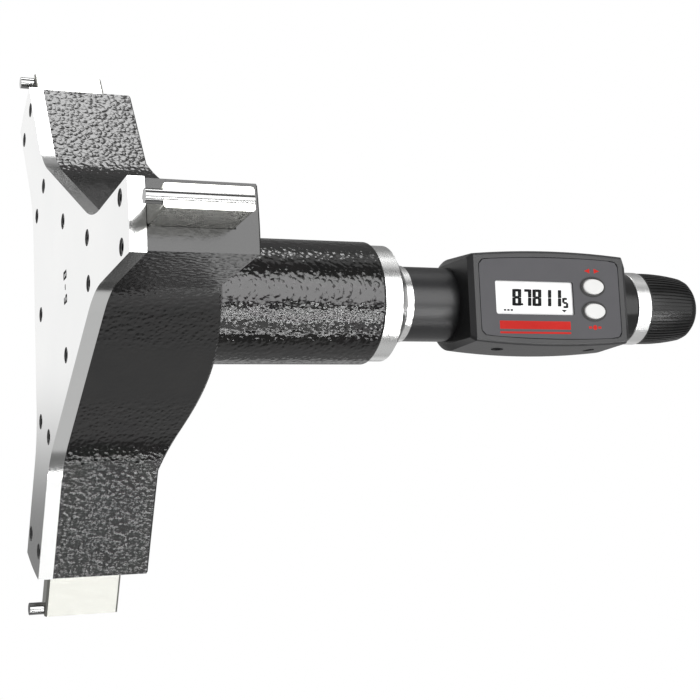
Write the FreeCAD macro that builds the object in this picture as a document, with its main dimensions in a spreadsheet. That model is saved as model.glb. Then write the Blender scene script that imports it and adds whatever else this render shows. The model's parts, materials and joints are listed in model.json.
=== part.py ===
import FreeCAD, Part
import math
import os
import Sketcher

# Three-point bore gauge with a digital display, standing on its front plate
#
# Millimetres. Z is the handle's axis and points up from the head to the thimble.
# The origin is the centre of the front plate's outer face, on the handle's axis.
# Arm 1 points along X, and arms 2 and 3 follow at equal angles round Z.
# The display side is turned display_angle degrees round Z from arm 1.

os.makedirs("parts", exist_ok=True)
doc = FreeCAD.newDocument("bore_gauge")

ARMS = 3
ARM_STEP = 360.0 / ARMS

# Driving dimensions

SIZES = {
    # Head
    "plate_thick": 4.7,  # front plate
    "plate_arm_half": 10.65,  # half width of a plate arm
    "plate_hub_flat": 35.4,  # centre to the plate's flats between the arms
    "arm_end_radius": 94.3,  # centre to the rounded arm ends
    "plate_corner_round": 34.0,  # inner corners of the plate
    "cast_arm_half": 10.2,  # half width of a casting arm
    "cast_hub_flat": 33.2,  # centre to the casting's flats
    "cast_corner_round": 30.0,  # inner corners of the casting
    "arm_back": 36.8,  # back of the arms above the plate's face
    "hub_back": 48.8,  # back of the hub, where the barrel starts
    "cone_foot": 57.5,  # radius where the hub's cone meets the arms
    "cast_edge_round": 0.5,  # back edges of the casting
    "bore_radius": 18.08,  # bore for the wedge in hub and barrel
    # Plate screws
    "end_screw_edge": 9.1,  # arm's end to the outer screw pair
    "inner_screws": 45.15,  # inner screw pair from the centre
    "screw_side": 7.0,  # screw pair from the arm's middle
    "hub_screws": 25.0,  # hub screws from the centre
    "screw_head": 2.45,  # radius
    "screw_shank": 1.5,  # radius
    "screw_sunk": 0.35,  # head below the plate's face
    "screw_head_deep": 2.6,  # head's height
    "screw_long": 9.0,  # shank in the casting
    "screw_socket": 1.25,  # hexagon across its corners, halved
    "screw_socket_deep": 1.3,  # socket
    "screw_gap": 0.1,  # round head and shank
    # Anvils
    "contact_radius": 111.52,  # centre to the contact line at rest
    "pin_radius": 2.05,  # contact pin
    "pin_proud": 0.5,  # pin in front of the blade's end
    "pin_start": 0.1,  # pin's end behind the plate's face
    "blade_half": 3.4,  # half thickness of a blade
    "blade_round": 0.9,  # long edges of a blade
    "blade_start": 4.8,  # blade's edge behind the plate
    "blade_top": 29.6,  # blade's back edge
    "blade_inner": 13.5,  # blade's inner end
    "foot_half": 2.5,  # half thickness of the blade's foot
    "foot_top": 36.4,  # top of the foot
    "foot_outer": 24.0,  # foot's outer end
    "foot_low": 31.0,  # where the foot's ramp starts
    "foot_tip": 11.9,  # radius of the ramp's lower end
    "slide_gap": 0.06,  # blade in its slot, each side
    "travel_in": 9.92,  # anvil's way in from rest
    "travel_out": 2.78,  # anvil's way out from rest
    "end_gap": 0.5,  # spare length at the ends of a slot
    # Return springs
    "trough_low": 24.4,  # floor of the trough in the blade
    "trough_half": 2.3,  # half width
    "trough_inner": 40.0,  # inner end of the trough
    "spring_radius": 1.75,  # middle of the wire
    "spring_wire": 0.3,  # wire radius
    "spring_turns": 7.0,  # turns
    "post_edge": 18.3,  # arm's end to the post in the casting
    "post_radius": 1.5,  # post
    "post_rise": 4.0,  # post above the slot's floor
    "post_fit": 0.02,  # post in its hole
    # Wedge and screw
    "wedge_radius": 18.0,  # round part of the wedge
    "wedge_tip": 1.9,  # centre to the faces at the tip
    "ramp_ratio": 0.5,  # anvil's travel for the wedge's travel
    "ramp_gap": 0.05,  # foot to the wedge's face
    "wedge_land": 17.7,  # centre to the faces at their end
    "wedge_top": 60.0,  # back of the wedge at rest
    "nut_radius": 8.0,  # nut in the wedge
    "nut_long": 10.0,  # nut
    "nut_fit": 0.02,  # nut in the wedge
    "lead_radius": 4.0,  # lead screw over its thread
    "lead_gap": 0.06,  # screw in the nut
    "lead_front": 46.0,  # front end of the screw
    "screw_room": 0.6,  # round the screw in the wedge
    "flange_radius": 9.0,  # thrust flange
    "flange_thick": 4.0,  # thrust flange
    "journal_radius": 6.0,  # journal in the bush
    "journal_gap": 0.05,  # journal in the bush
    "thrust_gap": 0.1,  # end play on each side
    "bush_radius": 11.0,  # bearing bush
    "bush_fit": 0.02,  # bush in the barrel
    "clip_radius": 8.0,  # retaining clip
    "clip_thick": 1.1,  # retaining clip
    "clip_groove": 1.0,  # depth of its groove
    "socket_radius": 5.0,  # screw's driven end
    "socket_long": 12.0,  # screw's driven end
    "hex_half": 2.15,  # drive hexagon, half across its flats
    "hex_gap": 0.06,  # hexagon in its socket
    "hex_deep": 8.5,  # hexagon in its socket
    # Barrel, collar and neck
    "barrel_radius": 21.45,  # outer radius
    "barrel_long": 58.0,  # hub to collar
    "barrel_round": 1.0,  # rim of the barrel
    "barrel_wall": 10.8,  # end wall with the bearing
    "spigot_radius": 20.0,  # barrel's spigot in the hub
    "spigot_long": 4.0,  # barrel's spigot in the hub
    "spigot_fit": 0.02,  # spigots in their seats
    "collar_radius": 20.35,  # collar
    "collar_land": 6.5,  # straight part
    "collar_taper": 4.9,  # conical part
    "collar_lip": 2.3,  # narrow ring
    "collar_lip_radius": 13.55,  # narrow ring
    "collar_seat": 16.0,  # collar's spigot in the barrel
    "collar_seat_long": 3.0,  # collar's spigot in the barrel
    "collar_clear": 0.15,  # collar round the bush
    "clip_room": 4.4,  # recess over the clip
    "neck_radius": 13.25,  # neck tube
    "neck_long": 18.3,  # visible length
    "neck_front": 10.5,  # spigot in the collar
    "neck_front_long": 7.3,  # spigot in the collar
    "neck_rear": 11.5,  # spigot in the housing
    "neck_rear_long": 8.2,  # spigot in the housing
    "neck_bore": 6.0,  # bore
    # Display housing
    "display_angle": 5.2,  # degrees from arm 1 round the axis
    "face_out": 20.7,  # axis to the display side
    "house_long": 64.6,  # neck to rear cap
    "face_half_front": 14.3,  # half width of the flat face near the neck
    "face_half_mid": 15.9,  # half width of the flat face in the middle
    "face_half_rear": 14.7,  # half width of the flat face near the thimble
    "back_front": 16.5,  # radius of the back near the neck
    "back_mid": 18.4,  # radius of the back in the middle
    "back_rear": 16.9,  # radius of the back near the thimble
    "nose_long": 1.8,  # bevelled ends
    "nose_inset": 2.3,  # bevel of the back near the neck
    "tail_inset": 1.3,  # bevel of the back near the thimble
    "face_inset": 1.4,  # bevel of the face and its sides
    "tail_side_inset": 2.9,  # bevel of the face's sides near the thimble
    "face_round": 1.2,  # long edges of the face
    "chamber_radius": 12.2,  # hollow round the shaft
    "chamber_start": 11.2,  # wall between neck and hollow
    "shaft_room": 1.0,  # round the shaft
    "panel_deep": 0.7,  # recess for the label panel
    "panel_gap": 0.08,  # round the panel
    "panel_start": 3.6,  # panel from the housing's start
    "panel_long": 57.4,  # panel
    "panel_front_half": 13.4,  # half width of the panel near the neck
    "panel_rear_half": 14.0,  # half width of the panel near the thimble
    "panel_bow": 380.0,  # radius of the panel's long sides
    "panel_sunk": 0.05,  # panel below the face
    "panel_corner": 2.6,  # panel's corners
    "bay_half": 12.4,  # half width of the electronics bay
    "bay_start": 4.9,  # bay from the housing's start
    "bay_long": 54.8,  # bay
    "board_floor": 14.3,  # axis to the board's seat
    "hole_lift": 10.0,  # side screws from the axis
    "hole_front": 15.0,  # front side screw from the housing's start
    "hole_rear": 52.7,  # rear side screw from the housing's start
    "hole_radius": 2.2,  # side screws' recess
    "hole_seat": 16.3,  # axis plane to the side screws' seats
    "side_shank": 1.25,  # side screws' shank
    "side_long": 5.0,  # side screws' shank
    "side_head": 0.9,  # side screws' head height
    # Display and buttons
    "window_start": 9.95,  # window from the housing's start
    "window_long": 31.6,  # window
    "window_half": 5.95,  # half width of the window
    "window_round": 0.8,  # window's corners
    "window_lap": 1.0,  # glass behind the panel
    "window_thick": 1.0,  # glass
    "module_lap": 2.0,  # module beyond the window
    "stack_gap": 0.1,  # between stacked flat pieces
    "board_thick": 1.6,  # circuit board
    "board_gap": 0.3,  # board in its bay
    "button_place": 49.7,  # buttons from the housing's start
    "button_side": 4.45,  # buttons from the middle
    "button_long": 4.35,  # half length of a button along the handle
    "button_wide": 2.8,  # half width of a button
    "button_proud": 0.9,  # button above the panel
    "button_flange": 0.7,  # flange round the button
    "button_travel": 0.5,  # travel
    "button_round": 0.5,  # edge of the button
    "bezel_wide": 0.62,  # rubber ring round a button
    "bezel_gap": 0.28,  # button in its ring
    "bezel_fit": 0.02,  # ring in the panel
    "bezel_proud": 0.12,  # ring above the face
    "bezel_low": 0.2,  # ring below the panel
    "flange_play": 0.2,  # flange below the ring
    "button_plate": 0.8,  # flange's thickness
    "stem_radius": 1.2,  # button's stem
    "stem_play": 0.05,  # stem's end above the pressed switch
    "switch_high": 1.4,  # key switch on the board
    "switch_half": 1.7,  # half width of a key switch
    # Battery and encoder
    "cell_radius": 10.0,  # coin cell
    "cell_thick": 3.2,  # coin cell
    "cell_place": 19.9,  # cell from the housing's start
    "cell_gap": 0.25,  # cell in its bay
    "cover_half": 13.4,  # half length of the battery cover
    "cover_low": 7.5,  # cover's lower edge from the axis
    "cover_high": 17.0,  # cover's upper edge from the axis
    "cover_seat": 14.75,  # axis plane to the cover's seat
    "cover_gap": 0.12,  # round the cover
    "cover_screw_side": 11.8,  # cover screws from the cell's middle
    "cover_screw_lift": 12.5,  # cover screws from the axis
    "cover_screw_seat": 16.0,  # axis plane to the cover screws' seats
    "cover_screw": 1.3,  # cover screws' head
    "cover_screw_deep": 0.9,  # cover screws' head height
    "cover_shank": 0.75,  # cover screws' shank
    "cover_shank_long": 2.2,  # cover screws' shank
    "disc_place": 37.2,  # encoder disc from the housing's start
    "disc_radius": 10.5,  # encoder disc
    "disc_thick": 1.4,  # encoder disc
    "disc_hub": 6.5,  # encoder disc's hub
    "disc_hub_long": 7.0,  # encoder disc's hub
    "sensor_half": 4.0,  # half width of the encoder's sensor
    "sensor_long": 3.0,  # half length of the encoder's sensor
    "sensor_room": 1.2,  # window round the sensor
    "bush_room": 5.1,  # shaft bush to the rear cap's spigot
    "bush_long": 6.0,  # shaft bush
    "sensor_gap": 0.6,  # sensor to the disc
    "shaft_radius": 4.0,  # drive shaft
    "shaft_fit": 0.02,  # pieces fixed on the shaft
    # Rear cap and thimble
    "cap_long": 8.9,  # visible cone of the rear cap
    "cap_end": 13.5,  # radius of the cone's end
    "cap_spigot": 6.0,  # spigot in the housing
    "cap_boss": 9.5,  # radius of the boss inside the thimble
    "cap_boss_long": 4.3,  # boss inside the thimble
    "rear_journal": 5.0,  # shaft in the rear cap
    "turn_gap": 0.25,  # rear cap to the thimble ring
    "seal_middle": 10.22,  # seal ring on the boss
    "seal_radius": 0.66,  # seal ring
    "ring_radius": 13.65,  # bright thimble ring
    "ring_long": 6.0,  # bright thimble ring
    "ring_bore": 11.0,  # bright thimble ring
    "ring_wall": 1.5,  # wall behind the clutch hub
    "ring_round": 0.4,  # rims of the bright ring
    "grip_radius": 13.45,  # grip behind the ring
    "grip_bow": 80.0,  # radius of the grip's long curve
    "grip_shoulder": 11.9,  # grip's radius where its end rounds
    "grip_side_long": 18.9,  # ring to the rounding
    "grip_end_round": 5.5,  # radius of the rounding
    "grip_end_radius": 7.2,  # end face
    "grip_long": 23.7,  # ring to the end face
    "rib_deep": 0.5,  # grooves between the ribs
    "rib_half": 0.36,  # half width of a rib
    "rib_start": 0.7,  # ribs start behind the ring
    "rib_root": 1.2,  # ribs below the grip's core
    "rib_low": 0.06,  # ribs below the plain band
    "clutch_bore": 10.0,  # hollow of the grip
    "clutch_deep": 14.6,  # hollow of the grip
    "hub_radius": 7.5,  # clutch hub on the shaft
    "hub_long": 5.0,  # clutch hub on the shaft
    "hub_gap": 0.15,  # clutch hub to its neighbours
    "disc_plate": 1.2,  # friction plate
    "shaft_end": 3.5,  # shaft in the clutch hub
    "nut_cap": 5.4,  # nut on the shaft's end
    "nut_cap_long": 3.0,  # nut on the shaft's end
    "clutch_spring": 7.6,  # middle of the clutch spring
    "clutch_wire": 0.55,  # wire radius
    "clutch_turns": 4.0,  # turns
    "plug_radius": 5.6,  # plug in the grip's end
    "plug_long": 5.0,  # plug in the grip's end
    "plug_sunk": 0.1,  # plug below the end face
}

# Worked-out dimensions, kept in the sheet as formulas

DERIVED = {
    "plate_corner": "(plate_hub_flat - plate_arm_half * sin(60)) / cos(60)",
    "cast_corner": "(cast_hub_flat - cast_arm_half * sin(60)) / cos(60)",
    "plate_triangle": "plate_hub_flat * 2",
    "cast_triangle": "cast_hub_flat * 2",
    "hex_reach": "hex_half / cos(30)",
    "hex_socket_reach": "(hex_half + hex_gap) / cos(30)",
    "hub_screw_x": "hub_screws * cos(60)",
    "hub_screw_y": "hub_screws * sin(60)",
    "plate_end_x": "sqrt(arm_end_radius * arm_end_radius - plate_arm_half * plate_arm_half)",
    "cast_end_x": "sqrt(arm_end_radius * arm_end_radius - cast_arm_half * cast_arm_half)",
    "pin_place": "contact_radius - pin_radius",
    "blade_end": "contact_radius - pin_proud",
    "foot_top_radius": "foot_tip + (foot_top - foot_low) * ramp_ratio",
    "tip_height": "foot_low - (foot_tip - wedge_tip) / ramp_ratio",
    "land_height": "foot_low + (wedge_land - foot_tip) / ramp_ratio",
    "wedge_back_travel": "travel_in / ramp_ratio",
    "wedge_hole_end": "lead_front - wedge_back_travel - screw_room",
    "slot_half": "blade_half + slide_gap",
    "foot_slot_half": "foot_half + slide_gap",
    "end_screws": "arm_end_radius - end_screw_edge",
    "post_place": "arm_end_radius - post_edge",
    "trough_outer": "post_place + post_radius + travel_in + end_gap",
    "spring_height": "(trough_low + blade_top) / 2",
    "spring_space": "post_place - post_radius - trough_inner - travel_out",
    "spring_pitch": "(spring_space - spring_wire * 2 - 0.2) / spring_turns",
    "barrel_end": "hub_back + barrel_long",
    "collar_edge": "barrel_end + collar_land",
    "collar_cone": "collar_edge + collar_taper",
    "collar_end": "collar_cone + collar_lip",
    "neck_end": "collar_end + neck_long",
    "flange_back": "barrel_end - barrel_wall - thrust_gap",
    "clip_place": "barrel_end + thrust_gap",
    "socket_start": "clip_place + clip_thick + 2",
    "socket_end": "socket_start + socket_long",
    "house_rear": "neck_end + house_long",
    "house_mid": "neck_end + house_long / 2",
    "cap_rear": "house_rear + cap_long",
    "ring_start": "cap_rear + turn_gap",
    "ring_end": "ring_start + ring_long",
    "grip_end": "ring_end + grip_long",
    "panel_floor": "face_out - panel_deep",
    "glass_floor": "panel_floor - window_thick - stack_gap",
    "board_back": "board_floor + stack_gap",
    "board_top": "board_back + board_thick",
    "cell_floor": "board_floor - cell_thick - cell_gap",
    "panel_low": "neck_end + panel_start",
    "panel_high": "panel_low + panel_long",
    "window_low": "neck_end + window_start",
    "window_high": "window_low + window_long",
    "button_height": "neck_end + button_place",
    "flange_top": "panel_floor - bezel_low - flange_play",
    "switch_top": "board_top + switch_high",
    "stem_end": "switch_top + button_travel + stem_play",
    "cell_height": "neck_end + cell_place",
    "disc_height": "neck_end + disc_place",
    "bush_height": "house_rear - cap_spigot - bush_room - bush_long",
    "hub_end": "ring_end + hub_gap + hub_long",
    "plate_end": "hub_end + hub_gap + disc_plate",
    "clutch_end": "ring_end + clutch_deep",
    "clutch_pitch": "(clutch_end - plate_end - clutch_wire * 2 - 0.2) / clutch_turns",
}

dims = doc.addObject("Spreadsheet::Sheet", "dims")
row = 1
for alias, value in SIZES.items():
    dims.set("A%d" % row, alias)
    dims.set("B%d" % row, str(value))
    dims.setAlias("B%d" % row, alias)
    row += 1
for alias, working in DERIVED.items():
    dims.set("A%d" % row, alias)
    dims.set("B%d" % row, "=" + working)
    dims.setAlias("B%d" % row, alias)
    row += 1
doc.recompute()


# Helpers: a size is written as a sum of the sheet's names, such as "hub_back + spigot_long"

def number(size):
    """The present value of a sum of names."""
    total = 0.0
    sign = 1.0
    for word in size.split():
        if word in ("+", "-"):
            sign = 1.0 if word == "+" else -1.0
        elif word[0].isdigit():
            total += sign * float(word)
        else:
            total += sign * float(dims.get(word))
    return total


def formula(size):
    """The same sum as an expression bound to the sheet."""
    words = [word if word in ("+", "-") or word[0].isdigit() else "dims." + word for word in size.split()]
    return " ".join(words)


def minus(size):
    """The same sum with every sign turned."""
    turned_signs = {"+": "-", "-": "+"}
    return "- " + " ".join(turned_signs.get(word, word) for word in size.split())


def bind(feature, prop, size):
    setattr(feature, prop, number(size))
    feature.setExpression(prop, formula(size))


def turned(angle):
    return FreeCAD.Placement(FreeCAD.Vector(), FreeCAD.Rotation(FreeCAD.Vector(0, 0, 1), angle))


PIECES = []


def new_body(label, many=False):
    body = doc.addObject("PartDesign::Body", label)
    body.Label = label
    body.AllowCompound = many
    body.Placement = turned(0)
    return body


def keep(piece, angle=0.0):
    """Mark a sub-part for export and turn it to its place round the axis."""
    piece.Placement = turned(angle)
    PIECES.append(piece)
    return piece


def keep_display(piece):
    """The same for pieces of the display side, whose angle is a size of the sheet."""
    keep(piece, number("display_angle"))
    piece.setExpression("Placement.Rotation.Angle", "dims.display_angle * 1 deg")
    return piece


def new_sketch(body, plane, offset=None):
    """A sketch on one of the body's own planes, lifted along the plane's normal."""
    sketch = body.newObject("Sketcher::SketchObject", body.Name + "_sketch")
    origin = {feature.Role: feature for feature in body.Origin.OriginFeatures}
    sketch.AttachmentSupport = [(origin[plane], "")]
    sketch.MapMode = "FlatFace"
    if offset:
        sketch.AttachmentOffset = FreeCAD.Placement(FreeCAD.Vector(0, 0, number(offset)), FreeCAD.Rotation())
        sketch.setExpression("AttachmentOffset.Base.z", formula(offset))
    return sketch


def fix(sketch, kind, edge, point, size):
    """Hold one coordinate of a point at a size of the sheet."""
    if size == "0":
        axis = -2 if kind == "DistanceX" else -1
        sketch.addConstraint(Sketcher.Constraint("PointOnObject", edge, point, axis))
        return
    value = number(size)
    if value < 0:
        index = sketch.addConstraint(Sketcher.Constraint(kind, edge, point, -1, 1, -value))
        sketch.setExpression("Constraints[%d]" % index, "-(" + formula(size) + ")")
        return
    index = sketch.addConstraint(Sketcher.Constraint(kind, -1, 1, edge, point, value))
    sketch.setExpression("Constraints[%d]" % index, formula(size))


def outline(sketch, points, arcs=None):
    """A closed outline. arcs maps an edge's number to (radius, side the arc bulges to)."""
    arcs = arcs or {}
    spots = [FreeCAD.Vector(number(x), number(y), 0) for x, y in points]
    edges = []
    for index, start in enumerate(spots):
        end = spots[(index + 1) % len(spots)]
        if index in arcs:
            size, side = arcs[index]
            chord = end - start
            radius = number(size)
            rise = radius - math.sqrt(radius ** 2 - (chord.Length / 2) ** 2)
            across = FreeCAD.Vector(chord.y, -chord.x, 0).normalize() * (rise * side)
            curve = Part.Arc(start, (start + end) * 0.5 + across, end)
        else:
            curve = Part.LineSegment(start, end)
        edges.append(sketch.addGeometry(curve))

    def vertex(edge, spot):
        near = sketch.getPoint(edge, 1).sub(spot).Length < sketch.getPoint(edge, 2).sub(spot).Length
        return 1 if near else 2

    for index, edge in enumerate(edges):
        before = edges[index - 1]
        here = vertex(edge, spots[index])
        sketch.addConstraint(
            Sketcher.Constraint("Coincident", before, vertex(before, spots[index]), edge, here))
        fix(sketch, "DistanceX", edge, here, points[index][0])
        fix(sketch, "DistanceY", edge, here, points[index][1])
    for index, (size, side) in arcs.items():
        bound = sketch.addConstraint(Sketcher.Constraint("Radius", edges[index], number(size)))
        sketch.setExpression("Constraints[%d]" % bound, formula(size))
    return sketch


def box_outline(sketch, low_x, low_y, high_x, high_y):
    return outline(sketch, [(low_x, low_y), (high_x, low_y), (high_x, high_y), (low_x, high_y)])


def circle(sketch, x, y, radius):
    spot = FreeCAD.Vector(number(x), number(y), 0)
    edge = sketch.addGeometry(Part.Circle(spot, FreeCAD.Vector(0, 0, 1), number(radius)))
    index = sketch.addConstraint(Sketcher.Constraint("Radius", edge, number(radius)))
    sketch.setExpression("Constraints[%d]" % index, formula(radius))
    if x == "0" and y == "0":
        sketch.addConstraint(Sketcher.Constraint("Coincident", edge, 3, -1, 1))
    else:
        fix(sketch, "DistanceX", edge, 3, x)
        fix(sketch, "DistanceY", edge, 3, y)
    return edge


def hexagon(sketch, x, y, reach):
    """A hexagon by the circle through its corners."""
    middle = FreeCAD.Vector(number(x), number(y), 0)
    size = number(reach)
    spots = [middle + FreeCAD.Vector(size * math.cos(math.radians(60 * k)),
                                     size * math.sin(math.radians(60 * k)), 0) for k in range(6)]
    sides = [sketch.addGeometry(Part.LineSegment(spots[k], spots[(k + 1) % 6])) for k in range(6)]
    guide = circle(sketch, x, y, reach)
    sketch.setConstruction(guide, True)
    for k in range(6):
        sketch.addConstraint(Sketcher.Constraint("Coincident", sides[k - 1], 2, sides[k], 1))
        sketch.addConstraint(Sketcher.Constraint("PointOnObject", sides[k], 1, guide))
    for k in range(5):
        sketch.addConstraint(Sketcher.Constraint("Equal", sides[k], sides[k + 1]))
    sketch.addConstraint(Sketcher.Constraint("Horizontal", sides[1]))


def pad(body, sketch, length, middle=False, down=False):
    feature = body.newObject("PartDesign::Pad", body.Name + "_pad")
    feature.Profile = sketch
    if middle:
        feature.SideType = "Symmetric"
    feature.Reversed = down
    bind(feature, "Length", length)
    return feature


def pocket(body, sketch, length, middle=False, up=False):
    """A pocket cuts against the sketch's normal unless it is turned up."""
    feature = body.newObject("PartDesign::Pocket", body.Name + "_pocket")
    feature.Profile = sketch
    if middle:
        feature.SideType = "Symmetric"
    feature.Reversed = up
    bind(feature, "Length", length)
    return feature


def spun(body, sketch, kind="Revolution"):
    """Turn a profile drawn on the XZ plane round the handle's axis."""
    feature = body.newObject("PartDesign::" + kind, body.Name + "_" + kind.lower())
    feature.Profile = sketch
    feature.ReferenceAxis = (sketch, ["V_Axis"])
    feature.Angle = 360.0
    return feature


def around(body, feature, count):
    pattern = body.newObject("PartDesign::PolarPattern", body.Name + "_pattern")
    pattern.Originals = [feature]
    origin = {part.Role: part for part in body.Origin.OriginFeatures}
    pattern.Axis = (origin["Z_Axis"], [""])
    pattern.Angle = 360.0
    pattern.Occurrences = count
    body.Tip = pattern
    return pattern


def rounded(body, radius, chosen, kind="Fillet"):
    """Round or bevel the edges of the body's present shape that chosen() accepts."""
    doc.recompute()
    base = body.Tip
    names = ["Edge%d" % (i + 1) for i, edge in enumerate(base.Shape.Edges) if chosen(edge)]
    feature = body.newObject("PartDesign::" + kind, body.Name + "_" + kind.lower())
    feature.Base = (base, names)
    bind(feature, "Radius" if kind == "Fillet" else "Size", radius)
    return feature


def near(value, size, slack=0.01):
    return abs(value - number(size)) < slack


def lathe(label, points, arcs=None, angle=0.0):
    """A turned piece from its half section of (radius, height) points."""
    body = new_body(label)
    sketch = outline(new_sketch(body, "XZ_Plane"), points, arcs)
    spun(body, sketch)
    return keep(body, angle)


def edge_span(edge):
    return edge.Vertexes[0].Point, edge.Vertexes[-1].Point


def is_upright(edge):
    start, end = edge_span(edge)
    return math.hypot(start.x - end.x, start.y - end.y) < 0.001 and abs(start.z - end.z) > 0.5


def star(body, flat, triangle, arm_half, end_x, start, height):
    """The three-armed outline shared by plate and casting: a triangle with its arms."""
    # the triangle's corners lie on the arms, at twice the flats' distance
    corner_x = triangle
    hub = new_sketch(body, "XY_Plane", start)
    spots = []
    for index in range(ARMS):
        angle = math.radians(ARM_STEP * index)
        spots.append(FreeCAD.Vector(number(corner_x) * math.cos(angle), number(corner_x) * math.sin(angle), 0))
    edges = [hub.addGeometry(Part.LineSegment(spots[i], spots[(i + 1) % ARMS])) for i in range(ARMS)]
    for index, edge in enumerate(edges):
        hub.addConstraint(Sketcher.Constraint("Coincident", edges[index - 1], 2, edge, 1))
    hub.addConstraint(Sketcher.Constraint("Equal", edges[0], edges[1]))
    hub.addConstraint(Sketcher.Constraint("Equal", edges[1], edges[2]))
    hub.addConstraint(Sketcher.Constraint("Vertical", edges[1]))
    fix(hub, "DistanceX", edges[0], 1, corner_x)
    fix(hub, "DistanceY", edges[0], 1, "0")
    fix(hub, "DistanceX", edges[1], 1, "- " + flat)
    pad(body, hub, height)
    arm = new_sketch(body, "XY_Plane", start)
    outline(arm, [("0", "- " + arm_half), (end_x, "- " + arm_half), (end_x, arm_half), ("0", arm_half)],
            {1: ("arm_end_radius", 1)})
    around(body, pad(body, arm, height), ARMS)


def inner_corners(corner, half):
    reach = math.hypot(number(corner), number(half))

    def chosen(edge):
        start = edge.Vertexes[0].Point
        return is_upright(edge) and abs(math.hypot(start.x, start.y) - reach) < 0.01
    return chosen


def screw_spots(sketch, radius):
    for place in ("end_screws", "inner_screws"):
        circle(sketch, place, "screw_side", radius)
        circle(sketch, place, "- screw_side", radius)
    circle(sketch, "hub_screw_x", "hub_screw_y", radius)


# Front plate: ground steel, with counterbored holes for its screws

plate = new_body("front_plate")
star(plate, "plate_hub_flat", "plate_triangle", "plate_arm_half", "plate_end_x", "0", "plate_thick")
rounded(plate, "plate_corner_round", inner_corners("plate_corner", "plate_arm_half"))
holes = new_sketch(plate, "XY_Plane", "0")
screw_spots(holes, "screw_shank + screw_gap")
around(plate, pocket(plate, holes, "plate_thick", up=True), ARMS)
holes = new_sketch(plate, "XY_Plane", "0")
screw_spots(holes, "screw_head + screw_gap")
around(plate, pocket(plate, holes, "screw_sunk + screw_head_deep", up=True), ARMS)
keep(plate)

# Plate screws: fifteen socket screws of one size

screws = new_body("plate_screws", many=True)
heads = new_sketch(screws, "XY_Plane", "screw_sunk")
screw_spots(heads, "screw_head")
around(screws, pad(screws, heads, "screw_head_deep"), ARMS)
shanks = new_sketch(screws, "XY_Plane", "screw_sunk + screw_head_deep - 0.1")
screw_spots(shanks, "screw_shank")
around(screws, pad(screws, shanks, "screw_long + 0.1"), ARMS)
doc.recompute()
sockets = new_sketch(screws, "XY_Plane", "screw_sunk")


for place in ("end_screws", "inner_screws"):
    hexagon(sockets, place, "screw_side", "screw_socket")
    hexagon(sockets, place, "- screw_side", "screw_socket")
hexagon(sockets, "hub_screw_x", "hub_screw_y", "screw_socket")
around(screws, pocket(screws, sockets, "screw_socket_deep", up=True), ARMS)
keep(screws)

# Head casting: three arms and a conical hub, slotted for the blades and bored for the wedge

cast = new_body("head_casting")
star(cast, "cast_hub_flat", "cast_triangle", "cast_arm_half", "cast_end_x", "plate_thick",
     "hub_back - plate_thick")
rounded(cast, "cast_corner_round", inner_corners("cast_corner", "cast_arm_half"))
back = new_sketch(cast, "XZ_Plane")
outline(back, [
    ("barrel_radius", "hub_back"),
    ("cone_foot", "arm_back"),
    ("arm_end_radius + 5", "arm_back"),
    ("arm_end_radius + 5", "hub_back + 5"),
    ("barrel_radius", "hub_back + 5"),
])
spun(cast, back, "Groove")


def back_rim(edge):
    """The outer edges of the casting's back, without the circles where cone and arms meet."""
    middle = edge.CenterOfMass
    start, end = edge_span(edge)
    if min(start.z, end.z, middle.z) < number("arm_back") - 0.01 or is_upright(edge):
        return False
    if abs(start.y) < 0.01 and abs(end.y) < 0.01:
        return False
    foot = near(math.hypot(start.x, start.y), "cone_foot") and near(math.hypot(end.x, end.y), "cone_foot")
    return not foot and math.hypot(middle.x, middle.y) > number("barrel_radius") + 1


rounded(cast, "cast_edge_round", back_rim, "Chamfer")
bore = new_sketch(cast, "XY_Plane", "hub_back")
circle(bore, "0", "0", "bore_radius")
pocket(cast, bore, "hub_back - plate_thick")
seat = new_sketch(cast, "XY_Plane", "hub_back")
circle(seat, "0", "0", "spigot_radius + spigot_fit")
pocket(cast, seat, "spigot_long")
slot = new_sketch(cast, "XY_Plane", "plate_thick")
box_outline(slot, "bore_radius - 3", "- slot_half", "arm_end_radius + 1", "slot_half")
around(cast, pocket(cast, slot, "blade_top + slide_gap - plate_thick", up=True), ARMS)
foot_slot = new_sketch(cast, "XY_Plane", "plate_thick")
box_outline(foot_slot, "bore_radius - 3", "- foot_slot_half",
            "foot_outer + travel_out + end_gap", "foot_slot_half")
around(cast, pocket(cast, foot_slot, "foot_top + slide_gap - plate_thick", up=True), ARMS)
taps = new_sketch(cast, "XY_Plane", "plate_thick")
screw_spots(taps, "screw_shank + screw_gap")
around(cast, pocket(cast, taps, "screw_long", up=True), ARMS)
post_hole = new_sketch(cast, "XY_Plane", "blade_top")
circle(post_hole, "post_place", "0", "post_radius + post_fit")
around(cast, pocket(cast, post_hole, "post_rise", up=True), ARMS)
keep(cast)

# Spring posts: one dowel over each blade, standing down into the blade's trough

posts = new_body("spring_posts", many=True)
post = new_sketch(posts, "XY_Plane", "trough_low + end_gap")
circle(post, "post_place", "0", "post_radius")
around(posts, pad(posts, post, "blade_top + post_rise - trough_low - end_gap"), ARMS)
keep(posts)


# Anvils: a slotted steel blade with a ramped foot, and the contact pin in its outer end

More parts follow.
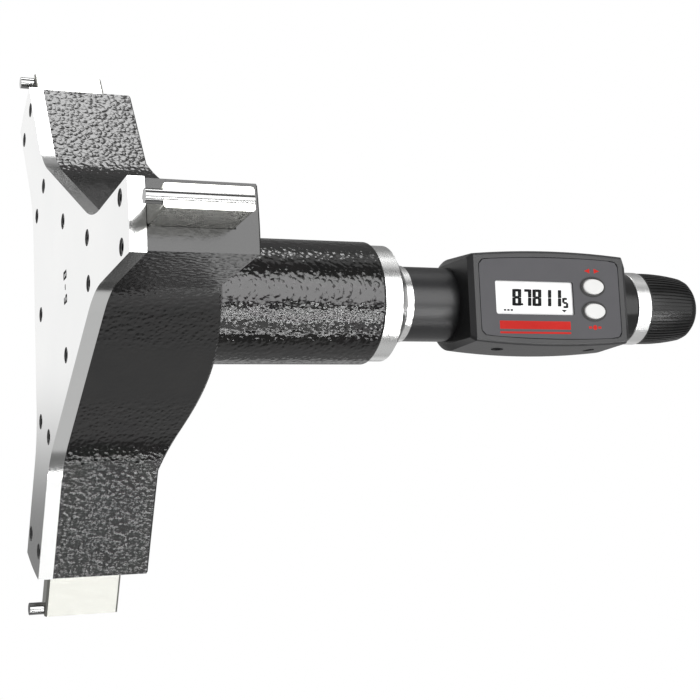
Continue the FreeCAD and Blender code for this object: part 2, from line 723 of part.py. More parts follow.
def anvil_blade(label, angle):
    body = new_body(label)
    side = new_sketch(body, "XZ_Plane")
    box_outline(side, "blade_inner", "blade_start", "blade_end", "blade_top")
    pad(body, side, "blade_half + blade_half", middle=True)

    def long_edge(edge):
        start, end = edge_span(edge)
        return abs(start.y - end.y) < 0.001 and abs(start.z - end.z) < 0.001
    rounded(body, "blade_round", long_edge)
    foot = new_sketch(body, "XZ_Plane")
    outline(foot, [
        ("foot_tip + ramp_gap", "foot_low"),
        ("blade_inner", "foot_low"),
        ("blade_inner", "blade_top - 3"),
        ("foot_outer", "blade_top - 3"),
        ("foot_outer", "foot_top"),
        ("foot_top_radius + ramp_gap", "foot_top"),
    ])
    pad(body, foot, "foot_half + foot_half", middle=True)
    groove = new_sketch(body, "XY_Plane", "blade_start")
    circle(groove, "pin_place", "0", "pin_radius + post_fit")
    pocket(body, groove, "blade_top - blade_start", up=True)
    trough = new_sketch(body, "XY_Plane", "blade_top")
    box_outline(trough, "trough_inner", "- trough_half", "trough_outer", "trough_half")
    pocket(body, trough, "blade_top - trough_low")
    return keep(body, angle)


def anvil_pin(label, angle):
    body = new_body(label)
    disc = new_sketch(body, "XY_Plane", "pin_start")
    circle(disc, "pin_place", "0", "pin_radius")
    pad(body, disc, "blade_top - pin_start")
    return keep(body, angle)


def coil_spring(label, radius, wire, pitch, turns):
    """A round wire swept along a helix."""
    path = doc.addObject("Part::Helix", label + "_path")
    bind(path, "Pitch", pitch)
    path.Height = number(pitch) * number(turns)
    path.setExpression("Height", "dims.%s * dims.%s" % (pitch, turns))
    bind(path, "Radius", radius)
    path.SegmentLength = 1
    profile = doc.addObject("Part::Circle", label + "_wire")
    bind(profile, "Radius", wire)
    profile.Placement = FreeCAD.Placement(FreeCAD.Vector(number(radius), 0, 0),
                                          FreeCAD.Rotation(FreeCAD.Vector(1, 0, 0), 90))
    profile.setExpression("Placement.Base.x", formula(radius))
    sweep = doc.addObject("Part::Sweep", label)
    sweep.Label = label
    sweep.Sections = [profile]
    sweep.Spine = (path, [])
    sweep.Solid = True
    sweep.Frenet = True
    return sweep


def return_spring(label, angle):
    """A spring in the blade's trough, against the post, as short as with the anvils fully out."""
    spring = coil_spring(label, "spring_radius", "spring_wire", "spring_pitch", "spring_turns")
    start = "dims.trough_inner + dims.travel_out + dims.spring_wire + dims.stack_gap"
    lay = FreeCAD.Placement(FreeCAD.Vector(number("trough_inner + travel_out + spring_wire + stack_gap"), 0, number("spring_height")),
                            FreeCAD.Rotation(FreeCAD.Vector(0, 1, 0), 90))
    keep(spring)
    spring.Placement = turned(angle).multiply(lay)
    spring.setExpression("Placement.Base.x", "(%s) * cos(%g)" % (start, angle))
    spring.setExpression("Placement.Base.y", "(%s) * sin(%g)" % (start, angle))
    spring.setExpression("Placement.Base.z", "dims.spring_height")
    return spring


for index in range(ARMS):
    anvil_blade("anvil_blade_%d" % (index + 1), ARM_STEP * index)
    anvil_pin("anvil_pin_%d" % (index + 1), ARM_STEP * index)
    return_spring("return_spring_%d" % (index + 1), ARM_STEP * index)

# Wedge: a round slide with three ramped faces that spread the blades

wedge = new_body("wedge_cone")
blank = new_sketch(wedge, "XY_Plane", "tip_height")
circle(blank, "0", "0", "wedge_radius")
pad(wedge, blank, "wedge_top - tip_height")
ramp = new_sketch(wedge, "XZ_Plane")
outline(ramp, [
    ("wedge_tip", "tip_height"),
    ("wedge_radius + 4", "tip_height"),
    ("wedge_radius + 4", "land_height"),
    ("wedge_land", "land_height"),
])
around(wedge, pocket(wedge, ramp, "wedge_radius + wedge_radius + 40", middle=True), ARMS)
hole = new_sketch(wedge, "XY_Plane", "wedge_top")
circle(hole, "0", "0", "lead_radius + screw_room")
pocket(wedge, hole, "wedge_top - wedge_hole_end")
hole = new_sketch(wedge, "XY_Plane", "wedge_top")
circle(hole, "0", "0", "nut_radius")
pocket(wedge, hole, "nut_long")
keep(wedge)

lathe("drive_nut", [
    ("lead_radius + lead_gap", "wedge_top - nut_long"),
    ("nut_radius - nut_fit", "wedge_top - nut_long"),
    ("nut_radius - nut_fit", "wedge_top"),
    ("lead_radius + lead_gap", "wedge_top"),
])

# Lead screw: thread, thrust flange, journal, clip groove and driven end

screw = new_body("lead_screw")
spun(screw, outline(new_sketch(screw, "XZ_Plane"), [
    ("0", "lead_front"),
    ("lead_radius - 0.6", "lead_front"),
    ("lead_radius", "lead_front + 0.6"),
    ("lead_radius", "flange_back - flange_thick"),
    ("flange_radius", "flange_back - flange_thick"),
    ("flange_radius", "flange_back"),
    ("journal_radius", "flange_back"),
    ("journal_radius", "clip_place"),
    ("journal_radius - clip_groove", "clip_place"),
    ("journal_radius - clip_groove", "clip_place + clip_thick + 0.1"),
    ("journal_radius", "clip_place + clip_thick + 0.1"),
    ("journal_radius", "socket_start"),
    ("socket_radius", "socket_start"),
    ("socket_radius", "socket_end"),
    ("0", "socket_end"),
]))
socket = new_sketch(screw, "XY_Plane", "socket_end")
hexagon(socket, "0", "0", "hex_socket_reach")
pocket(screw, socket, "hex_deep")
keep(screw)

clip = new_body("retaining_clip")
spun(clip, outline(new_sketch(clip, "XZ_Plane"), [
    ("journal_radius - clip_groove + 0.05", "clip_place"),
    ("clip_radius", "clip_place"),
    ("clip_radius", "clip_place + clip_thick"),
    ("journal_radius - clip_groove + 0.05", "clip_place + clip_thick"),
]))
mouth = new_sketch(clip, "XY_Plane", "clip_place + clip_thick")
box_outline(mouth, "0", "- clip_groove - 1", "clip_radius + 1", "clip_groove + 1")
pocket(clip, mouth, "clip_thick")
keep(clip)

# Barrel with its bearing bush, the bright collar and the neck tube

barrel = new_body("barrel")
spun(barrel, outline(new_sketch(barrel, "XZ_Plane"), [
    ("bore_radius", "hub_back - spigot_long"),
    ("spigot_radius", "hub_back - spigot_long"),
    ("spigot_radius", "hub_back"),
    ("barrel_radius", "hub_back"),
    ("barrel_radius", "barrel_end"),
    ("collar_seat", "barrel_end"),
    ("collar_seat", "barrel_end - collar_seat_long"),
    ("bush_radius + bush_fit", "barrel_end - collar_seat_long"),
    ("bush_radius + bush_fit", "barrel_end - barrel_wall"),
    ("bore_radius", "barrel_end - barrel_wall"),
]))
rounded(barrel, "barrel_round", lambda edge: (
    len(edge.Vertexes) == 1 and near(edge.Curve.Radius, "barrel_radius")
    and near(edge.Vertexes[0].Z, "barrel_end")))
keep(barrel)

lathe("bearing_bush", [
    ("journal_radius + journal_gap", "barrel_end - barrel_wall"),
    ("bush_radius", "barrel_end - barrel_wall"),
    ("bush_radius", "barrel_end"),
    ("journal_radius + journal_gap", "barrel_end"),
])

lathe("collar", [
    ("bush_radius + collar_clear", "barrel_end - collar_seat_long"),
    ("collar_seat - spigot_fit", "barrel_end - collar_seat_long"),
    ("collar_seat - spigot_fit", "barrel_end"),
    ("collar_radius - 0.3", "barrel_end"),
    ("collar_radius", "barrel_end + 0.3"),
    ("collar_radius", "collar_edge"),
    ("collar_lip_radius", "collar_cone"),
    ("collar_lip_radius", "collar_end"),
    ("neck_front", "collar_end"),
    ("neck_front", "collar_end - neck_front_long"),
    ("socket_radius + screw_room", "collar_end - neck_front_long"),
    ("socket_radius + screw_room", "barrel_end + clip_room"),
    ("clip_radius + screw_room", "barrel_end + clip_room"),
    ("clip_radius + screw_room", "barrel_end"),
    ("bush_radius + collar_clear", "barrel_end"),
])

lathe("neck_tube", [
    ("neck_bore", "collar_end - neck_front_long"),
    ("neck_front - spigot_fit", "collar_end - neck_front_long"),
    ("neck_front - spigot_fit", "collar_end"),
    ("neck_radius", "collar_end"),
    ("neck_radius", "neck_end"),
    ("neck_rear - spigot_fit", "neck_end"),
    ("neck_rear - spigot_fit", "neck_end + neck_rear_long"),
    ("neck_bore", "neck_end + neck_rear_long"),
])

# Drive rod: hexagon tip in the lead screw, journal in the rear cap, shouldered end for the clutch

rod = new_body("drive_rod")
spun(rod, outline(new_sketch(rod, "XZ_Plane"), [
    ("0", "socket_end - 0.5"),
    ("hex_half", "socket_end - 0.5"),
    ("hex_half", "socket_end + 0.5"),
    ("shaft_radius", "socket_end + 0.5"),
    ("shaft_radius", "house_rear + 0.6"),
    ("rear_journal", "house_rear + 0.6"),
    ("rear_journal", "cap_rear - 0.4"),
    ("shaft_radius", "cap_rear - 0.4"),
    ("shaft_radius", "ring_end + hub_gap"),
    ("shaft_end", "ring_end + hub_gap"),
    ("shaft_end", "hub_end + nut_cap_long"),
    ("0", "hub_end + nut_cap_long"),
]))
tip = new_sketch(rod, "XY_Plane", "socket_end + 0.5")
hexagon(tip, "0", "0", "hex_reach")
pad(rod, tip, "hex_deep", down=True)
keep(rod)

lathe("encoder_disc", [
    ("shaft_radius + shaft_fit", "disc_height"),
    ("disc_hub", "disc_height"),
    ("disc_hub", "disc_height + disc_hub_long - disc_thick - 2"),
    ("disc_radius", "disc_height + disc_hub_long - disc_thick - 2"),
    ("disc_radius", "disc_height + disc_hub_long - 2"),
    ("disc_hub", "disc_height + disc_hub_long - 2"),
    ("disc_hub", "disc_height + disc_hub_long"),
    ("shaft_radius + shaft_fit", "disc_height + disc_hub_long"),
])

lathe("clutch_hub", [
    ("shaft_end + shaft_fit", "ring_end + hub_gap"),
    ("hub_radius", "ring_end + hub_gap"),
    ("hub_radius", "hub_end"),
    ("shaft_end + shaft_fit", "hub_end"),
])

nut = new_body("shaft_nut")
outer = new_sketch(nut, "XY_Plane", "hub_end")
hexagon(outer, "0", "0", "nut_cap")
pad(nut, outer, "nut_cap_long")
hole = new_sketch(nut, "XY_Plane", "hub_end")
circle(hole, "0", "0", "shaft_end + shaft_fit")
pocket(nut, hole, "nut_cap_long", up=True)
keep(nut)


# Display housing: lofted between D-shaped sections, flat on the display side


def d_section(body, height, face, half, back):
    """A D-shaped section: flat face, two slanted sides and a round back about the axis."""
    sketch = new_sketch(body, "XY_Plane", height)
    reach, wide, radius, corner = number(face), number(half), number(back), number("face_round")
    spot = FreeCAD.Vector(reach - corner, wide, 0)
    lean = math.atan2(spot.y, spot.x) + math.acos((radius - corner) / spot.Length)
    normal = FreeCAD.Vector(math.cos(lean), math.sin(lean), 0)
    mirror = FreeCAD.Vector(normal.x, -normal.y, 0)
    under = FreeCAD.Vector(spot.x, -spot.y, 0)
    up = FreeCAD.Vector(0, 0, 1)
    front = sketch.addGeometry(Part.LineSegment(FreeCAD.Vector(reach, -wide, 0), FreeCAD.Vector(reach, wide, 0)))
    upper = sketch.addGeometry(Part.ArcOfCircle(Part.Circle(spot, up, corner), 0, lean))
    side = sketch.addGeometry(Part.LineSegment(spot + normal * corner, normal * radius))
    round_back = sketch.addGeometry(
        Part.ArcOfCircle(Part.Circle(FreeCAD.Vector(), up, radius), lean, 2 * math.pi - lean))
    other = sketch.addGeometry(Part.LineSegment(mirror * radius, under + mirror * corner))
    lower = sketch.addGeometry(Part.ArcOfCircle(Part.Circle(under, up, corner), -lean, 0))
    chain = [front, upper, side, round_back, other, lower]
    for index, edge in enumerate(chain):
        sketch.addConstraint(Sketcher.Constraint("Tangent", chain[index - 1], 2, edge, 1))
    sketch.addConstraint(Sketcher.Constraint("Coincident", round_back, 3, -1, 1))
    for edge, size in ((round_back, back), (upper, "face_round"), (lower, "face_round")):
        index = sketch.addConstraint(Sketcher.Constraint("Radius", edge, number(size)))
        sketch.setExpression("Constraints[%d]" % index, formula(size))
    fix(sketch, "DistanceX", front, 1, face)
    fix(sketch, "DistanceY", front, 1, minus(half))
    fix(sketch, "DistanceY", front, 2, half)
    return sketch


def loft(body, sections, ruled):
    feature = body.newObject("PartDesign::AdditiveLoft", body.Name + "_loft")
    feature.Profile = sections[0]
    feature.Sections = sections[1:]
    feature.Ruled = ruled
    return feature


def housing_form(body):
    front = ("neck_end + nose_long", "face_out", "face_half_front", "back_front")
    middle = ("house_mid", "face_out", "face_half_mid", "back_mid")
    rear = ("house_rear - nose_long", "face_out", "face_half_rear", "back_rear")
    nose = ("neck_end", "face_out - face_inset", "face_half_front - face_inset", "back_front - nose_inset")
    tail = ("house_rear", "face_out - face_inset", "face_half_rear - tail_side_inset", "back_rear - tail_inset")
    loft(body, [d_section(body, *front), d_section(body, *middle), d_section(body, *rear)], False)
    loft(body, [d_section(body, *nose), d_section(body, *front)], True)
    loft(body, [d_section(body, *rear), d_section(body, *tail)], True)


def panel_outline(sketch, inset):
    low = "panel_low" + (" + " + inset if inset else "")
    high = "panel_high" + (" - " + inset if inset else "")
    front = "panel_front_half" + (" - " + inset if inset else "")
    rear = "panel_rear_half" + (" - " + inset if inset else "")
    return outline(sketch, [
        (minus(front), low),
        (front, low),
        (rear, high),
        (minus(rear), high),
    ], {1: ("panel_bow", 1), 3: ("panel_bow", 1)})


def along_x(edge):
    start, end = edge_span(edge)
    return math.hypot(start.y - end.y, start.z - end.z) < 0.001 and abs(start.x - end.x) > 0.2


def panel_edge(edge):
    """The four corners of the panel and of its recess."""
    spot = edge.Vertexes[0].Point
    low, high = number("panel_low") + 0.3, number("panel_high") - 0.3
    outside = spot.z < low or spot.z > high
    return along_x(edge) and outside and abs(spot.y) > number("panel_front_half") - 1


house = new_body("display_housing")
housing_form(house)
recess = new_sketch(house, "YZ_Plane", "face_out")
panel_outline(recess, "")
pocket(house, recess, "panel_deep")
rounded(house, "panel_corner", panel_edge)
bay = new_sketch(house, "YZ_Plane", "face_out")
box_outline(bay, "- bay_half", "neck_end + bay_start", "bay_half", "neck_end + bay_start + bay_long")
pocket(house, bay, "face_out - board_floor")
hole = new_sketch(house, "XY_Plane", "neck_end")
circle(hole, "0", "0", "neck_rear")
pocket(house, hole, "neck_rear_long + stack_gap", up=True)
hole = new_sketch(house, "XY_Plane", "neck_end")
circle(hole, "0", "0", "shaft_radius + shaft_room")
pocket(house, hole, "house_long", up=True)
hole = new_sketch(house, "XY_Plane", "house_rear")
circle(hole, "0", "0", "chamber_radius")
pocket(house, hole, "house_long - chamber_start")
cell_bay = new_sketch(house, "YZ_Plane", "board_floor")
box_outline(cell_bay, "- cover_seat - 1", "cell_height - cell_radius - cell_gap",
            "cell_radius + cell_gap", "cell_height + cell_radius + cell_gap")
pocket(house, cell_bay, "board_floor - cell_floor")
eye = new_sketch(house, "YZ_Plane", "board_floor")
box_outline(eye, "- sensor_half - sensor_room", "disc_height - sensor_room",
            "sensor_half + sensor_room", "disc_height + disc_hub_long + sensor_room")
pocket(house, eye, "board_floor - disc_radius")
seat = new_sketch(house, "XZ_Plane", "cover_seat")
box_outline(seat, "cover_low", "cell_height - cover_half", "cover_high", "cell_height + cover_half")
pocket(house, seat, "face_out", up=True)


def cover_holes(body, plane, radius, length, outward):
    for side in ("-", "+"):
        spots = new_sketch(body, "XZ_Plane", plane)
        circle(spots, "cover_screw_lift", "cell_height %s cover_screw_side" % side, radius)
        pocket(body, spots, length, up=outward)


cover_holes(house, "cover_seat", "cover_shank + screw_gap", "cover_shank_long + 0.2", False)
for place in ("hole_front", "hole_rear"):
    well = new_sketch(house, "XZ_Plane", "- hole_seat")
    circle(well, "hole_lift", "neck_end + " + place, "hole_radius")
    pocket(house, well, "face_out")
    well = new_sketch(house, "XZ_Plane", "- hole_seat")
    circle(well, "hole_lift", "neck_end + " + place, "side_shank + screw_gap")
    pocket(house, well, "side_long + 0.2", up=True)
keep_display(house)

# Battery cover: the piece of the housing's own side that closes the cell's slot

form = new_body("cover_form")
housing_form(form)
cover_holes(form, "cover_screw_seat", "cover_screw + screw_gap", "face_out", True)
cover_holes(form, "cover_screw_seat", "cover_shank + screw_gap", "face_out", False)
block = doc.addObject("Part::Box", "cover_block")
bind(block, "Length", "cover_high - cover_low - cover_gap - cover_gap")
bind(block, "Width", "face_out - cover_seat")
bind(block, "Height", "cover_half + cover_half - cover_gap - cover_gap")
block.setExpression("Placement.Base.x", "dims.cover_low + dims.cover_gap")
block.setExpression("Placement.Base.y", "-dims.face_out")
block.setExpression("Placement.Base.z", "dims.cell_height - dims.cover_half + dims.cover_gap")
cover = doc.addObject("Part::Common", "battery_cover")
cover.Label = "battery_cover"
cover.Base = form
cover.Tool = block
keep_display(cover)

small = new_body("cover_screws", many=True)
for side in ("-", "+"):
    spots = new_sketch(small, "XZ_Plane", "cover_screw_seat")
    circle(spots, "cover_screw_lift", "cell_height %s cover_screw_side" % side, "cover_screw")
    pad(small, spots, "cover_screw_deep")
    spots = new_sketch(small, "XZ_Plane", "cover_screw_seat + 0.1")
    circle(spots, "cover_screw_lift", "cell_height %s cover_screw_side" % side, "cover_shank")
    pad(small, spots, "cover_screw_seat - cover_seat + cover_shank_long + 0.1", down=True)
keep_display(small)

side_screws = new_body("housing_screws", many=True)
for place in ("hole_front", "hole_rear"):
    spots = new_sketch(side_screws, "XZ_Plane", "- hole_seat")
    circle(spots, "hole_lift", "neck_end + " + place, "hole_radius - screw_gap")
    pad(side_screws, spots, "side_head", down=True)
    spots = new_sketch(side_screws, "XZ_Plane", "- hole_seat - 0.1")
    circle(spots, "hole_lift", "neck_end + " + place, "side_shank")
    pad(side_screws, spots, "side_long + 0.1")
for place in ("hole_front", "hole_rear"):
    spots = new_sketch(side_screws, "XZ_Plane", "- hole_seat - side_head")
    hexagon(spots, "hole_lift", "neck_end + " + place, "screw_socket")
    pocket(side_screws, spots, "side_head - 0.2", up=True)
keep_display(side_screws)

# Display: label panel, window, liquid crystal module, board, keys and their rubber rings


def ellipse(sketch, x, y, long_half, short_half):
    """An ellipse with its long axis along the handle."""
    middle = FreeCAD.Vector(number(x), number(y), 0)
    top = middle + FreeCAD.Vector(0, number(long_half), 0)
    right = middle + FreeCAD.Vector(number(short_half), 0, 0)
    edge = sketch.addGeometry(Part.Ellipse(top, right, middle))
    sketch.exposeInternalGeometry(edge)
    major = edge + 1
    minor = major + 1
    fix(sketch, "DistanceX", edge, 3, x)
    fix(sketch, "DistanceY", edge, 3, y)
    sketch.addConstraint(Sketcher.Constraint("Vertical", major))
    for line, size in ((major, long_half), (minor, short_half)):
        index = sketch.addConstraint(Sketcher.Constraint("Distance", line, 2 * number(size)))
        sketch.setExpression("Constraints[%d]" % index, "2 * (" + formula(size) + ")")
    return sketch


SIDES = ("- button_side", "button_side")

panel = new_body("label_panel")
face = new_sketch(panel, "YZ_Plane", "panel_floor")
panel_outline(face, "panel_gap")
pad(panel, face, "panel_deep - panel_sunk")
rounded(panel, "panel_corner", panel_edge)
opening = new_sketch(panel, "YZ_Plane", "face_out - panel_sunk")
box_outline(opening, "- window_half", "window_low", "window_half", "window_high")
pocket(panel, opening, "panel_deep")
rounded(panel, "window_round", lambda edge: (
    along_x(edge) and near(abs(edge.Vertexes[0].Y), "window_half")))
for side in SIDES:
    opening = new_sketch(panel, "YZ_Plane", "face_out - panel_sunk")
    ellipse(opening, side, "button_height", "button_long + bezel_gap + bezel_wide + bezel_fit",
            "button_wide + bezel_gap + bezel_wide + bezel_fit")
    pocket(panel, opening, "panel_deep")
keep_display(panel)

glass = new_body("lcd_window")
face = new_sketch(glass, "YZ_Plane", "glass_floor")
box_outline(face, "- window_half - window_lap", "window_low - window_lap",
            "window_half + window_lap", "window_high + window_lap")
pad(glass, face, "window_thick")
keep_display(glass)

module = new_body("lcd_module")
face = new_sketch(module, "YZ_Plane", "board_top")
box_outline(face, "- window_half - module_lap", "window_low - module_lap",
            "window_half + module_lap", "window_high + module_lap")
pad(module, face, "glass_floor - stack_gap - board_top")
keep_display(module)

board = new_body("circuit_board")
face = new_sketch(board, "YZ_Plane", "board_back")
box_outline(face, "- bay_half + board_gap", "neck_end + bay_start + board_gap",
            "bay_half - board_gap", "neck_end + bay_start + bay_long - board_gap")
pad(board, face, "board_thick")
keep_display(board)

rings = new_body("button_gaskets", many=True)
for side in SIDES:
    face = new_sketch(rings, "YZ_Plane", "panel_floor - bezel_low")
    ellipse(face, side, "button_height", "button_long + bezel_gap + bezel_wide",
            "button_wide + bezel_gap + bezel_wide")
    pad(rings, face, "panel_deep + bezel_low + bezel_proud")
for side in SIDES:
    face = new_sketch(rings, "YZ_Plane", "panel_floor - bezel_low")
    ellipse(face, side, "button_height", "button_long + bezel_gap", "button_wide + bezel_gap")
    pocket(rings, face, "panel_deep + bezel_low + bezel_proud", up=True)
keep_display(rings)

for label, side in (("mode_button", SIDES[0]), ("set_button", SIDES[1])):
    button = new_body(label)
    face = new_sketch(button, "YZ_Plane", "flange_top - button_plate")
    ellipse(face, side, "button_height", "button_long + button_flange", "button_wide + button_flange")
    pad(button, face, "button_plate")
    face = new_sketch(button, "YZ_Plane", "flange_top - 0.1")
    ellipse(face, side, "button_height", "button_long", "button_wide")
    pad(button, face, "face_out + button_proud - flange_top + 0.1")
    rounded(button, "button_round", lambda edge: (
        near(edge.BoundBox.XMin, "face_out + button_proud") and near(edge.BoundBox.XMax, "face_out + button_proud")))
    stem = new_sketch(button, "YZ_Plane", "flange_top - button_plate + 0.1")
    circle(stem, side, "button_height", "stem_radius")
    pad(button, stem, "flange_top - button_plate - stem_end + 0.1", down=True)
    keep_display(button)

switches = new_body("key_switches", many=True)
face = new_sketch(switches, "YZ_Plane", "board_top")
box_outline(face, "- button_side - switch_half", "button_height - switch_half",
            "- button_side + switch_half", "button_height + switch_half")
pad(switches, face, "switch_high")
face = new_sketch(switches, "YZ_Plane", "board_top")
box_outline(face, "button_side - switch_half", "button_height - switch_half",
            "button_side + switch_half", "button_height + switch_half")
pad(switches, face, "switch_high")
keep_display(switches)

# Coin cell, encoder sensor and the shaft's bush inside the housing

cell = new_body("coin_cell")
face = new_sketch(cell, "YZ_Plane", "cell_floor")
circle(face, "0", "cell_height", "cell_radius")
pad(cell, face, "cell_thick")
rounded(cell, "screw_gap + 0.2", lambda edge: near(edge.BoundBox.XMin, "cell_floor"), "Chamfer")
keep_display(cell)

sensor = new_body("encoder_sensor")
face = new_sketch(sensor, "YZ_Plane", "disc_radius + sensor_gap")
box_outline(face, "- sensor_half", "disc_height + disc_hub_long - disc_thick - 2 - sensor_long + 0.7",
            "sensor_half", "disc_height + disc_hub_long - 2 + sensor_long - 0.7")
pad(sensor, face, "board_back - disc_radius - sensor_gap")
keep_display(sensor)

lathe("shaft_bush", [
    ("shaft_radius + journal_gap", "bush_height"),
    ("chamber_radius - bush_fit", "bush_height"),
    ("chamber_radius - bush_fit", "bush_height + bush_long"),
    ("shaft_radius + journal_gap", "bush_height + bush_long"),
])

# Rear cap with its boss and seal ring

lathe("rear_cap", [
    ("rear_journal + journal_gap", "house_rear - cap_spigot"),
    ("chamber_radius - spigot_fit", "house_rear - cap_spigot"),
    ("chamber_radius - spigot_fit", "house_rear"),
    ("back_rear - tail_inset", "house_rear"),
    ("cap_end", "cap_rear"),
    ("cap_boss", "cap_rear"),
    ("cap_boss", "cap_rear + cap_boss_long"),
    ("rear_journal + journal_gap", "cap_rear + cap_boss_long"),
])

seal = new_body("spindle_seal")
loop = new_sketch(seal, "XZ_Plane")
circle(loop, "seal_middle", "cap_rear + turn_gap + seal_radius + 1", "seal_radius")
spun(seal, loop)
keep(seal)

# Thimble: bright ring, ribbed grip, friction plate, clutch spring and end plug

ring = new_body("thimble_ring")
spun(ring, outline(new_sketch(ring, "XZ_Plane"), [
    ("ring_bore", "ring_start"),
    ("ring_radius", "ring_start"),
    ("ring_radius", "ring_end"),
    ("shaft_radius + journal_gap", "ring_end"),
    ("shaft_radius + journal_gap", "ring_end - ring_wall"),
    ("ring_bore", "ring_end - ring_wall"),
]))
rounded(ring, "ring_round", lambda edge: (
    len(edge.Vertexes) == 1 and near(edge.Curve.Radius, "ring_radius")))
keep(ring)

grip = new_body("thimble_grip")
spun(grip, outline(new_sketch(grip, "XZ_Plane"), [
    ("clutch_bore", "ring_end"),
    ("grip_radius", "ring_end"),
    ("grip_radius", "ring_end + rib_start"),
    ("grip_radius - rib_deep", "ring_end + rib_start"),
    ("grip_shoulder - rib_deep", "ring_end + grip_side_long"),
    ("grip_end_radius", "grip_end"),
    ("plug_radius + shaft_fit", "grip_end"),
    ("plug_radius + shaft_fit", "clutch_end"),
    ("clutch_bore", "clutch_end"),
], {3: ("grip_bow", 1), 4: ("grip_end_round", 1)}))
rib = outline(new_sketch(grip, "XZ_Plane"), [
    ("grip_radius - rib_deep - rib_root", "ring_end + rib_start - 0.2"),
    ("grip_radius - rib_low", "ring_end + rib_start - 0.2"),
    ("grip_shoulder", "ring_end + grip_side_long"),
    ("grip_shoulder - 0.85", "ring_end + grip_side_long + 2"),
    ("grip_shoulder - 2.6", "ring_end + grip_side_long + 3.4"),
    ("grip_shoulder - 3.2", "ring_end + grip_side_long + 2.4"),
    ("grip_shoulder - rib_deep - 1", "ring_end + grip_side_long - 1"),
], {1: ("grip_bow", 1)})
RIBS = 60
around(grip, pad(grip, rib, "rib_half + rib_half", middle=True), RIBS)
keep(grip)

lathe("friction_plate", [
    ("nut_cap + stack_gap + 0.3", "plate_end - disc_plate"),
    ("clutch_bore - 0.3", "plate_end - disc_plate"),
    ("clutch_bore - 0.3", "plate_end"),
    ("nut_cap + stack_gap + 0.3", "plate_end"),
])


plug = new_body("end_plug")
spun(plug, outline(new_sketch(plug, "XZ_Plane"), [
    ("0", "grip_end - plug_sunk - plug_long"),
    ("plug_radius", "grip_end - plug_sunk - plug_long"),
    ("plug_radius", "grip_end - plug_sunk - 0.4"),
    ("plug_radius - 0.4", "grip_end - plug_sunk"),
    ("0", "grip_end - plug_sunk"),
]))
keep(plug)

spring = coil_spring("clutch_spring", "clutch_spring", "clutch_wire", "clutch_pitch", "clutch_turns")
keep(spring)
spring.Placement.Base = FreeCAD.Vector(0, 0, number("plate_end + clutch_wire + stack_gap"))
spring.setExpression("Placement.Base.z", "dims.plate_end + dims.clutch_wire + dims.stack_gap")

# Check every object and write one file for each sub-part

doc.recompute()
doc.recompute()
for item in doc.Objects:
    if any(word in ("Invalid", "Error") for word in item.State):
        raise RuntimeError("%s isn't valid: %s" % (item.Name, item.State))
for piece in PIECES:
    if piece.Shape.isNull() or not piece.Shape.isValid() or piece.Shape.Volume <= 0:
        raise RuntimeError("%s has no valid shape" % piece.Label)
    piece.Shape.exportStep("parts/%s.step" % piece.Label)
    print("%-18s solids %2d  volume %10.1f" % (piece.Label, len(piece.Shape.Solids), piece.Shape.Volume))
print(len(PIECES), "pieces")
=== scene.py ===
import bmesh
import bpy
import json
import math
from mathutils import Matrix, Vector


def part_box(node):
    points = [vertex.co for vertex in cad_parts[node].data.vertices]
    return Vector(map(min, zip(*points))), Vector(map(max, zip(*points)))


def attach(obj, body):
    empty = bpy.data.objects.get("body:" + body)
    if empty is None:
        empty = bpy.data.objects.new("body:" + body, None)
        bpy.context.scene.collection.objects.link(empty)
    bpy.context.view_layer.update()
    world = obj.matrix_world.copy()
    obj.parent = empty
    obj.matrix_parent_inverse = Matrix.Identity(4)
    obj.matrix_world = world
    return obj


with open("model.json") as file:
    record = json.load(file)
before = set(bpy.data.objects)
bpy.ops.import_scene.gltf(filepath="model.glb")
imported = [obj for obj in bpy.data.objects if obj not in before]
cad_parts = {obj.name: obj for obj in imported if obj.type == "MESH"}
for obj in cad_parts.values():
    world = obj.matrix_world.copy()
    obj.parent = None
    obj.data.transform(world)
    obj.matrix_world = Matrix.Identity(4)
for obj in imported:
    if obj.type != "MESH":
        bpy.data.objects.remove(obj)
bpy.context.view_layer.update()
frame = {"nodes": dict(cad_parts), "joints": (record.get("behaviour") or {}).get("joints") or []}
scene = bpy.context.scene
NODES = frame["nodes"]
MM = 0.001

# Camera: it looks up at the head from below the front plate, with the handle to the right

RIGHT = Vector((0.405884, 0.080116, 0.910406))
DOWN = Vector((-0.265414, 0.963551, 0.033536))
FORWARD = Vector((-0.874536, -0.255246, 0.412354))
EYE = Vector((0.469166, 0.117013, -0.098216))
FOCAL_PIXELS = 1497.174
IMAGE_PIXELS = 700.0
CENTRE_COLUMN = 400.0
CENTRE_ROW = 250.0

camera_data = bpy.data.cameras.new("camera")
camera = bpy.data.objects.new("camera", camera_data)
scene.collection.objects.link(camera)
turn = Matrix((RIGHT, -DOWN, -FORWARD)).transposed()
camera.matrix_world = Matrix.Translation(EYE) @ turn.to_4x4()
camera_data.sensor_width = 36.0
camera_data.lens = FOCAL_PIXELS / IMAGE_PIXELS * camera_data.sensor_width
camera_data.shift_x = (IMAGE_PIXELS / 2 - CENTRE_COLUMN) / IMAGE_PIXELS
camera_data.shift_y = (CENTRE_ROW - IMAGE_PIXELS / 2) / IMAGE_PIXELS
camera_data.clip_start = 0.01
camera_data.clip_end = 20.0
scene.camera = camera

# Materials are built from small shader helpers


def new_material(name):
    material = bpy.data.materials.new(name)
    material.use_nodes = True
    tree = material.node_tree
    tree.nodes.clear()
    output = tree.nodes.new("ShaderNodeOutputMaterial")
    shader = tree.nodes.new("ShaderNodeBsdfPrincipled")
    tree.links.new(shader.outputs["BSDF"], output.inputs["Surface"])
    return material, tree, shader


